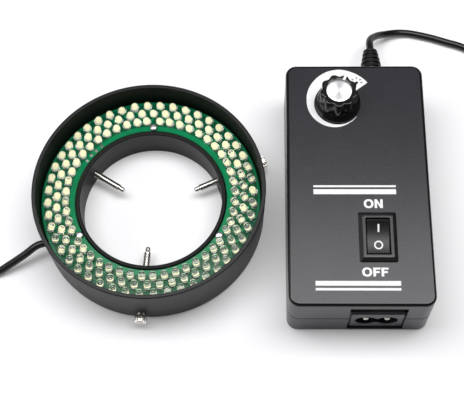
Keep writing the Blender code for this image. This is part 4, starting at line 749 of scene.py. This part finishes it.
mesh = bmesh.new()
profile = eased(((1.0, 3.3, 0), (1.5, 3.6, 0.1), (1.5, 6.3, 0.12), (0.1, 6.3, 0)), closed=False)
add_turned(mesh, profile, 28, set_screw_place)
set_screw = finish_piece("knob_set_screw", mesh, [zinc_plate], "dimmer")
slot_cut = bmesh.new()
add_block(slot_cut, (-2.0, -0.22, 5.7), (2.0, 0.22, 7.0), set_screw_place @ Matrix.Rotation(0.5, 4, "Z"))
work_on(set_screw, slot_cut, "DIFFERENCE")

# The white pointer is paint, wiped into a shallow line in the knob's top.
white_ink, tree, place = new_material("white_screen_ink")
thin = ranged(noise(place, 3, 4), 0, 1, 0.35, 0.75)
show(tree, {"Roughness": 0.5}, {"Base Color": blended("#f7f7f8", "#eeeeef", thin),
                                "Normal": relief(noise(place, 0.5, 2), 0.3, 0.02)})
mesh = bmesh.new()
line = eased(((5.3, -0.55, 0.1), (7.45, -0.55, 0.15), (7.45, 0.55, 0.15), (5.3, 0.55, 0.1)))
add_plate(mesh, line, 41.3, 41.66, knob_place @ turned(POINTER_ANGLE))
finish_piece("knob_pointer", mesh, [white_ink], "dimmer", ["dimmer_knob"])

# Spun aluminium shows bright fans, because its fine turned rings all lie round one centre.
# The real rings are 0.05 mm apart and are drawn 0.35 mm apart.
spun, tree, place = new_material("spun_aluminium_disc")
centred = add_node(tree, "Mapping", {"Location": -DIMMER_PLACE / 1000}, {"Vector": place}).outputs[0]
rings = add_node(tree, "TexWave", {"wave_type": "RINGS", "rings_direction": "Z", "Scale": 1000 / 0.35 / 20,
                                   "Distortion": 0.5}, {"Vector": centred}).outputs["Fac"]
show(tree, {"Metallic": 1.0, "Anisotropic": 0.6}, {
    "Base Color": blended("#f2f2f3", "#e2e3e4", rings),
    "Roughness": ranged(rings, 0.34, 0.4),
    "Normal": relief(rings, 0.15, 0.01),
    "Tangent": add_node(tree, "Tangent", {"direction_type": "RADIAL", "axis": "Z"}).outputs[0],
})
mesh = bmesh.new()
profile = eased(((5.2, 41.42, 0), (5.2, 42.0, 0.12), (4.5, 42.1, 0.3), (0.15, 42.1, 0)), closed=False)
add_turned(mesh, profile, 96, knob_place)
finish_piece("knob_cap", mesh, [spun], "dimmer")

# Printing on the cover
# White screen ink: a crescent round the dimmer that widens towards bright, with a small lamp at its
# end, and two pairs of lines with ON and OFF beside the switch.
PRINT_LOW = BOX_HEIGHT - 0.03
PRINT_HIGH = BOX_HEIGHT + 0.03
SIGN_HIGH = BOX_HEIGHT + 0.06
CRESCENT = ((128, 9.9), (150, 10.15), (184, 11.0), (230, 11.9), (279, 12.9), (320, 14.6), (345, 15.8),
            (364, 16.4), (390, 16.4), (412, 16.4))


def crescent_outline():
    """The crescent's outline: clockwise along its outer edge, then back along its inner edge."""
    points = []
    for (start, near), (end, far) in zip(CRESCENT, CRESCENT[1:]):
        steps = max(int((end - start) / 4), 1)
        for step in range(steps):
            share = step / steps
            points.append((start + (end - start) * share, near + (far - near) * share))
    points.append(CRESCENT[-1])
    points += [(turn, 9.7) for turn in range(412, 127, -4)]
    bearings = [(math.radians(turn), reach) for turn, reach in points]
    return [(reach * math.sin(bearing), reach * math.cos(bearing)) for bearing, reach in bearings]


def add_letter(mesh, x, y, corners):
    """A printed letter of straight strokes, drawn from its lower left corner."""
    add_plate(mesh, [(x + across, y + up) for across, up in corners], PRINT_LOW, PRINT_HIGH)


def letter_n(width, height, stem):
    """Corners of an N."""
    return ((0, 0), (stem, 0), (stem, 0.6 * height), (width - stem, 0), (width, 0), (width, height),
            (width - stem, height), (width - stem, 0.4 * height), (stem, height), (0, height))


def letter_f(width, height, stem):
    """Corners of an F."""
    bar = 0.82 * stem
    middle = 0.38 * height
    return ((0, 0), (stem, 0), (stem, middle), (0.88 * width, middle), (0.88 * width, middle + bar),
            (stem, middle + bar), (stem, height - bar), (width, height - bar), (width, height), (0, height))


def add_letter_o(mesh, x, y, half_width, half_height, stem):
    """A round letter as a band between two squared ovals."""
    loops = []
    for inset, z in ((0, PRINT_LOW), (0, PRINT_HIGH), (stem, PRINT_HIGH), (stem, PRINT_LOW)):
        loop = []
        for step in range(48):
            angle = 2 * math.pi * step / 48
            across = math.copysign(abs(math.cos(angle)) ** 0.9, math.cos(angle)) * (half_width - inset)
            up = math.copysign(abs(math.sin(angle)) ** 0.9, math.sin(angle)) * (half_height - 0.85 * inset)
            loop.append(Vector((x + across, y + up, z)))
        loops.append(loop)
    add_loft(mesh, loops, closed=True)


def printed_bar(low_x, low_y, high_x, high_y):
    """Outline of a bar with slightly round corners."""
    corners = ((low_x, low_y), (high_x, low_y), (high_x, high_y), (low_x, high_y))
    return eased([(x, y, 0.1) for x, y in corners], steps=2)


mesh = bmesh.new()
add_plate(mesh, crescent_outline(), PRINT_LOW, PRINT_HIGH, knob_place)
for low_y, high_y in ((-3.2, -2.34), (-6.28, -4.07), (-45.2, -43.24), (-47.17, -46.16)):
    add_plate(mesh, printed_bar(-18.2, low_y, 15.0, high_y), PRINT_LOW, PRINT_HIGH)
add_letter_o(mesh, 3.78, -10.44, 1.95, 1.97, 0.98)
add_letter(mesh, 6.12, -12.35, letter_n(3.3, 3.82, 1.0))
add_letter_o(mesh, 2.03, -39.54, 1.95, 1.92, 0.98)
add_letter(mesh, 4.42, -41.38, letter_f(2.85, 3.68, 1.0))
add_letter(mesh, 7.62, -41.38, letter_f(2.81, 3.68, 1.0))
finish_piece("cover_printing", mesh, [white_ink])

mesh = bmesh.new()
lamp_sign = Matrix.Translation((0.96, 45.1, 0))
add_plate(mesh, [(0.62 * x, 0.52 * y) for x, y in circle(1, 24)], BOX_HEIGHT, SIGN_HIGH, lamp_sign)
lamp_foot = [(0.4 * x, 0.45 * y - 0.45) for x, y in circle(1, 16)]
add_plate(mesh, lamp_foot, BOX_HEIGHT, SIGN_HIGH - 0.005, lamp_sign)
for x, y, turn in ((-0.69, 46.5, 135), (0.9, 47.2, 92), (2.46, 46.5, 45), (2.87, 45.1, 2)):
    place = Matrix.Translation((x, y, 0)) @ turned(turn)
    add_plate(mesh, printed_bar(-0.42, -0.2, 0.42, 0.2), BOX_HEIGHT, SIGN_HIGH, place)
finish_piece("lamp_sign", mesh, [black_abs])

# Rocker switch
# A snap-in switch in black nylon with a bevelled, mitred bezel and a hollowed rocker that turns on
# two moulded pins. I and O are stamped in white. It stands switched off, near end down.
FRAME_LOW = 30.8
FRAME_TOP = 32.1
ROCKER_PIVOT = SWITCH_PLACE + Vector((0, 0, 30.1))
ROCKER_TILT = 12
ROCKER_HALF = 7.07


def switch_loop(width, length, corner, height):
    """Loop round the switch's middle."""
    return raised(rounded_rectangle(width, length, corner, 4), height, Matrix.Translation(SWITCH_PLACE))


switch_nylon = moulded_plastic("black_nylon_frame", "#161617", "#1b1b1c", 0.3, 0.5, 0.01)
mesh = bmesh.new()
stations = (
    (12.6, 18.6, 0.4, 17.3), (12.6, 18.6, 0.4, FRAME_LOW), (14.9, 20.9, 0.6, FRAME_LOW),
    (15.0, 21.0, 0.6, FRAME_LOW + 0.08), (15.0, 21.0, 0.6, FRAME_LOW + 0.25),
    (14.7, 20.7, 0.6, FRAME_LOW + 0.45), (12.3, 18.3, 0.4, FRAME_TOP - 0.12),
    (11.9, 17.9, 0.4, FRAME_TOP), (9.9, 15.9, 0.5, FRAME_TOP), (9.66, 15.66, 0.5, FRAME_TOP - 0.06),
    (9.6, 15.6, 0.5, FRAME_TOP - 0.2), (9.6, 15.6, 0.5, FRAME_TOP - 9.0),
)
add_loft(mesh, [switch_loop(*station) for station in stations])
finish_piece("switch_frame", mesh, [switch_nylon])


def dish(y):
    """Height of the rocker's hollowed face over its pivot."""
    return 1.4 + 1.1 * (y / ROCKER_HALF) ** 2


def rocker_profile(inset):
    """Outline of the rocker from the side, hollow on top, drawn in by an inset."""
    half = ROCKER_HALF - inset
    top = dish(6.5) - inset
    points = [(half, top - 0.5), (half * 0.985, top - 0.15)]
    for step in range(13, -14, -1):
        y = step * 0.5
        points.append((y * half / ROCKER_HALF, dish(y) - inset))
    points += [(-half * 0.985, top - 0.15), (-half, top - 0.5), (-half * 0.94, -1.75)]
    points += [(-half * 0.55, -3.5 + inset), (half * 0.55, -3.5 + inset), (half * 0.94, -1.75)]
    return points


rocker_nylon = moulded_plastic("black_nylon_rocker", "#0c0c0f", "#111114", 0.35, 0.5, 0.01, 0.4)
tilted = Matrix.Translation(ROCKER_PIVOT) @ turned(ROCKER_TILT, "X")
mesh = bmesh.new()
sides = ((-4.5, 0.22), (-4.44, 0.1), (-4.3, 0.02), (-4.1, 0), (4.1, 0), (4.3, 0.02), (4.44, 0.1), (4.5, 0.22))
add_loft(mesh, [[tilted @ Vector((x, y, z)) for y, z in rocker_profile(inset)] for x, inset in sides])
add_plate(mesh, circle(1.0, 20), -5.3, 5.3, Matrix.Translation(ROCKER_PIVOT) @ lying)
finish_piece("switch_rocker", mesh, [rocker_nylon], "rocker")

mesh = bmesh.new()
length = [1.97 + 0.26 * step for step in range(13)]
section = [(y, dish(y) + 0.03) for y in length] + [(y, dish(y) - 0.1) for y in reversed(length)]
add_loft(mesh, [[tilted @ Vector((across, y, z)) for y, z in section] for across in (-0.24, 0.44)])
loops = []
for reach, rise in ((1.78, -0.1), (1.78, 0.03), (1.2, 0.03), (1.2, -0.1)):
    loops.append([tilted @ Vector((0.04 + x, y - 3.25, dish(y - 3.25) + rise)) for x, y in circle(reach, 40)])
add_loft(mesh, loops, closed=True)
finish_piece("rocker_marks", mesh, [white_ink], "rocker", ["switch_rocker"])

for node in ("switch_terminal_1", "switch_terminal_2"):
    paint_node(node, plated_metal("tinned_blade_" + node[-1], "#d8d3c2", "#b5ae98", 0.25, 0.3))

# Mains inlet
# A block of dark polyester in the notch of the box, with a figure-eight socket for the mains cord
# and two round pins of tinned brass, moulded in.
INLET_CENTRE = Vector((7.25, -52.5, 8.8))
PIN_ACROSS = 4.3
PIN_REACH = 0.3
inlet_place = Matrix.Translation(INLET_CENTRE) @ turned(90, "X")


def figure_eight(grow):
    """Outline of the socket, grown by some millimetres: two lobes joined by a waist."""
    points = []
    for side in (1, -1):
        for step in range(25):
            across, up = polar(4.25 + grow, math.radians(-148 + 296 * step / 24))
            points.append((side * (PIN_ACROSS + across), side * up))
    return points


def inlet_loop(low_x, high_x, low_z, high_z, y):
    """Loop round the inlet's block, with slightly round corners."""
    middle = Vector(((low_x + high_x) / 2, y, (low_z + high_z) / 2))
    return [middle + Vector((x, 0, z)) for x, z in rounded_rectangle(high_x - low_x, high_z - low_z, 0.5, 4)]


# The block is coloured mid grey: painted light, the bright table reflected in its black polyester. The
# socket's hollow gets a near-black copy: painted shade.
inlet_polyester_painted_light = moulded_plastic("black_polyester_inlet_painted_light", "#5e5e63", "#66666b", 0.34, 0.5, 0.02)
socket_painted_shade = moulded_plastic("black_polyester_in_shade", "#050505", "#080808", 0.6, 0.5, 0.02)
mesh = bmesh.new()
add_loft(mesh, [inlet_loop(*station) for station in (
    (-4.0, 18.1, 1.9, 17.3, -38.5), (-4.0, 18.1, 1.9, 17.3, -51.6), (-3.9, 18.05, 2.0, 17.15, -51.85),
    (-3.5, 17.9, 2.1, 16.65, -51.9), (-3.45, 17.95, 2.0, 16.6, -52.3), (-3.3, 17.9, 2.05, 16.4, -52.5),
)])
inlet = finish_piece("inlet_body", mesh, [inlet_polyester_painted_light, socket_painted_shade])
socket = bmesh.new()
depths = ((0, -10.0), (0, -0.35), (0.12, -0.12), (0.35, 0.02), (0.5, 0.5))
add_loft(socket, [raised(figure_eight(grow), height, inlet_place) for grow, height in depths])
work_on(inlet, socket, "DIFFERENCE")
# The faces inside the socket take the near-black copy: painted shade.
for polygon in inlet.data.polygons:
    centre = polygon.center * 1000 - INLET_CENTRE
    polygon.material_index = int(0.3 < centre.y < 10.5 and abs(centre.x) < 8.7 and abs(centre.z) < 4.4)

pin_metal = plated_metal("tinned_brass_pins", "#f4f2ec", "#e4e0d6", 0.3, 0.3)
for number, side in enumerate((-1, 1), 1):
    mesh = bmesh.new()
    profile = eased(((1.25, -15.5, 0), (1.25, -PIN_REACH, 1.0), (0.15, -PIN_REACH, 0)), closed=False, steps=8)
    add_turned(mesh, profile, 32, inlet_place @ Matrix.Translation((side * PIN_ACROSS, 0.5, 0)))
    finish_piece(f"inlet_pin_{number}", mesh, [pin_metal])

# Strain relief
# A soft black vinyl boot, moulded round the cord and held by its neck in the back wall. It tapers
# over six ribs, so that the cord bends gently where it leaves the box.
cord_vinyl = moulded_plastic("soft_black_vinyl", "#101011", "#161617", 0.3, 0.8, 0.01)
RELIEF_RIBS = 6
RIBS_START = 1.8
RIBS_END = 15.2
corners = [(5.0, -4.3, 0), (5.0, -2.3, 0.2), (3.4, -2.3, 0), (3.4, 0.3, 0), (6.0, 0.3, 0.15), (6.0, 1.3, 0.3)]
rib_pitch = (RIBS_END - RIBS_START) / RELIEF_RIBS
for index in range(RELIEF_RIBS):
    low = RIBS_START + index * rib_pitch
    reach = 5.6 + (3.2 - 5.6) * index / RELIEF_RIBS
    corners += [(reach - 0.9, low, 0.12), (reach - 0.9, low + 0.3 * rib_pitch, 0.12),
                (reach, low + 0.42 * rib_pitch, 0.2), (reach - 0.15, low + 0.9 * rib_pitch, 0.2)]
corners += [(2.5, RIBS_END, 0.1), (3.2, 15.6, 0.2), (3.1, 16.5, 0.3), (1.7, 16.8, 0.1), (1.62, 15.0, 0)]
mesh = bmesh.new()
add_turned(mesh, eased(corners, closed=False, steps=3), 48, CORD_OUTLET)
finish_piece("strain_relief", mesh, [cord_vinyl])

# Cord
# Round black vinyl cord of two wires, 1.2 m long, from the ring to the box. What is spare of it is
# wound up on the table behind the box.
CORD_RADIUS = 0.0016
coil_centre = Vector((0.0865, 0.0560, 0))
cord_hole = Vector((0, 0, CORD_HOLE_HEIGHT / 1000))
outward = ring_point(CORD_HOLE_ANGLE, 1)
ring_exit = RING_CENTRE / 1000 + cord_hole + outward * (RING_RADIUS / 1000)
ring_route = (
    (-0.1374, -0.0229, 0.0067),
    (-0.1444, -0.0270, 0.0044),
    (-0.1497, -0.0295, 0.0025),
    (-0.1562, -0.0306, 0.0016),
    (-0.1636, -0.0276, 0.0016),
    (-0.1680, -0.0205, 0.0016),
    (-0.1692, -0.0100, 0.0016),
    (-0.1684, 0.0120, 0.0016),
    (-0.1672, 0.0420, 0.0016),
    (-0.1682, 0.0750, 0.0016),
    (-0.1682, 0.0960, 0.0016),
    (-0.1638, 0.1086, 0.0016),
    (-0.1545, 0.1160, 0.0016),
    (-0.1400, 0.1182, 0.0016),
    (-0.1000, 0.1174, 0.0016),
    (-0.0500, 0.1160, 0.0016),
    (0.0000, 0.1166, 0.0016),
    (0.0360, 0.1172, 0.0016),
    (0.0590, 0.1110, 0.0016),
    (0.0760, 0.0985, 0.0022),
    (0.0900, 0.0870, 0.0037),
)
box_route = (
    (0.0096, 0.0772, 0.0118),
    (0.0123, 0.0815, 0.0083),
    (0.0178, 0.0853, 0.0042),
    (0.0257, 0.0874, 0.0019),
    (0.0350, 0.0859, 0.0016),
    (0.0450, 0.0827, 0.0016),
    (0.0534, 0.0796, 0.0016),
    (0.0588, 0.0760, 0.0016),
    (0.0617, 0.0700, 0.0016),
    (0.0620, 0.0620, 0.0016),
)
TURNS_OF_COIL = 5.5
POINTS_PER_TURN = 24
COIL_PITCH = 0.00375
coil_points = []
count = int(TURNS_OF_COIL * POINTS_PER_TURN)
for step in range(count + 1):
    from_middle = (step - count / 2) / POINTS_PER_TURN
    angle = math.radians(212) + 2 * math.pi * step / POINTS_PER_TURN
    climb = min(max(2 * from_middle + 0.5, 0), 1)
    spot = Vector((*polar(0.0130 + COIL_PITCH * abs(from_middle), angle), CORD_RADIUS + COIL_PITCH * climb))
    coil_points.append(coil_centre + spot)
in_relief = Vector((0.0092, 0.0686, 0.0144))
at_relief = Vector((0.0092, 0.0712, 0.0144))
box_end = [in_relief, at_relief, *(Vector(point) for point in box_route)]
ring_end = [ring_exit - outward * 0.0025, ring_exit, ring_exit + outward * 0.003]
ring_end += [Vector(point) for point in ring_route]
route = ring_end + coil_points[::-1] + box_end[::-1]
curve = bpy.data.curves.new("cord", "CURVE")
curve.dimensions = "3D"
curve.bevel_depth = CORD_RADIUS
curve.bevel_resolution = 5
curve.use_fill_caps = True
spline = curve.splines.new("BEZIER")
spline.bezier_points.add(len(route) - 1)
for bezier_point, point in zip(spline.bezier_points, route):
    bezier_point.co = point
    bezier_point.handle_left_type = "AUTO"
    bezier_point.handle_right_type = "AUTO"
spline.resolution_u = 6
curve.materials.append(cord_vinyl)
cord = placed("cord", curve)
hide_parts("cord_coil", "cord_ring_stretch", "cord_box_stretch")
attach(cord, "ring_box_and_cord")

# Table
# A sheet of smooth white card under the object. It looks close to pure white: what the camera sees
# of it, also through the clear lamps, is lifted a little by a glow that lights nothing else.
card, tree, place = new_material("smooth_white_card")
tint = blended("#f3f3f4", "#f0f0f2", noise(place, 40, 3))
paper = add_node(tree, "BsdfDiffuse", {}, {"Color": tint})
lift = add_node(tree, "Emission", {"Color": (1, 1, 1, 1), "Strength": 0.12})
lifted = add_node(tree, "AddShader", {}, {0: paper.outputs[0], 1: lift.outputs[0]})
rays = add_node(tree, "LightPath")
seen = add_node(tree, "Math", {"operation": "MAXIMUM"},
                {0: rays.outputs["Is Camera Ray"], 1: rays.outputs["Is Transmission Ray"]})
shown = add_node(tree, "MixShader", {}, {0: seen.outputs[0], 1: paper.outputs[0], 2: lifted.outputs[0]})
add_node(tree, "OutputMaterial", {}, {0: shown.outputs[0]})
mesh = bpy.data.meshes.new("table")
half = 3.0
corners = [(-half, -half, 0), (half, -half, 0), (half, half, 0), (-half, half, 0)]
mesh.from_pydata(corners, [], [(0, 1, 2, 3)])
mesh.materials.append(card)
table = placed("table", mesh)
table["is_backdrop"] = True

# Light
# A wide softbox hangs over the table, a little behind the object, and a weak one stands on the left.
# The dim room round them draws dark lines along the rounded edges and in the bright screws; on the cover's
# top edge the dark line is also painted.
world = bpy.data.worlds.new("dim_studio")
bpy.context.scene.world = world
world.use_nodes = True
tree = world.node_tree
tree.nodes.clear()
direction = add_node(tree, "TexCoord").outputs["Generated"]
axes = add_node(tree, "SeparateXYZ", {}, {0: direction})
room = blended("#303032", "#626264", ranged(axes.outputs["Z"], 0, 1, 0.1, 0.9))
# The room's pale wall stands on the left.
sideways = ranged(axes.outputs["X"], 1.4, 0.9, -0.8, 0.8)
glow = add_node(tree, "Background", {}, {"Color": room, "Strength": sideways})
add_node(tree, "OutputWorld", {}, {0: glow.outputs[0]})


def add_softbox(name, place, target, width, height, power):
    """An area lamp at a place, turned to a target."""
    lamp = bpy.data.lights.new(name, "AREA")
    lamp.shape = "RECTANGLE"
    lamp.size = width
    lamp.size_y = height
    lamp.energy = power
    made = placed(name, lamp)
    made.location = place
    made.rotation_euler = (Vector(target) - Vector(place)).to_track_quat("-Z", "Y").to_euler()


add_softbox("overhead_softbox", (-0.04, 0.16, 1.1), (-0.04, 0.16, 0), 1.5, 0.5, 14.4)
add_softbox("left_softbox", (-0.95, -0.05, 0.4), (-0.05, 0.0, 0.01), 0.8, 0.6, 2.2)

# Camera
# A camera on a stand in front of the table looks down on the ring and its box from half a metre.
camera_data = bpy.data.cameras.new("camera")
camera_data.sensor_width = 36
camera_data.lens = 87.393
camera = placed("camera", camera_data)
stand = Matrix.Translation((-0.04219, -0.19146, 0.44486))
camera.matrix_world = stand @ turned(2.778) @ turned(23.606, "X") @ turned(-2.536)
bpy.context.scene.camera = camera
bpy.context.scene.view_settings.view_transform = "Standard"

low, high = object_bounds()
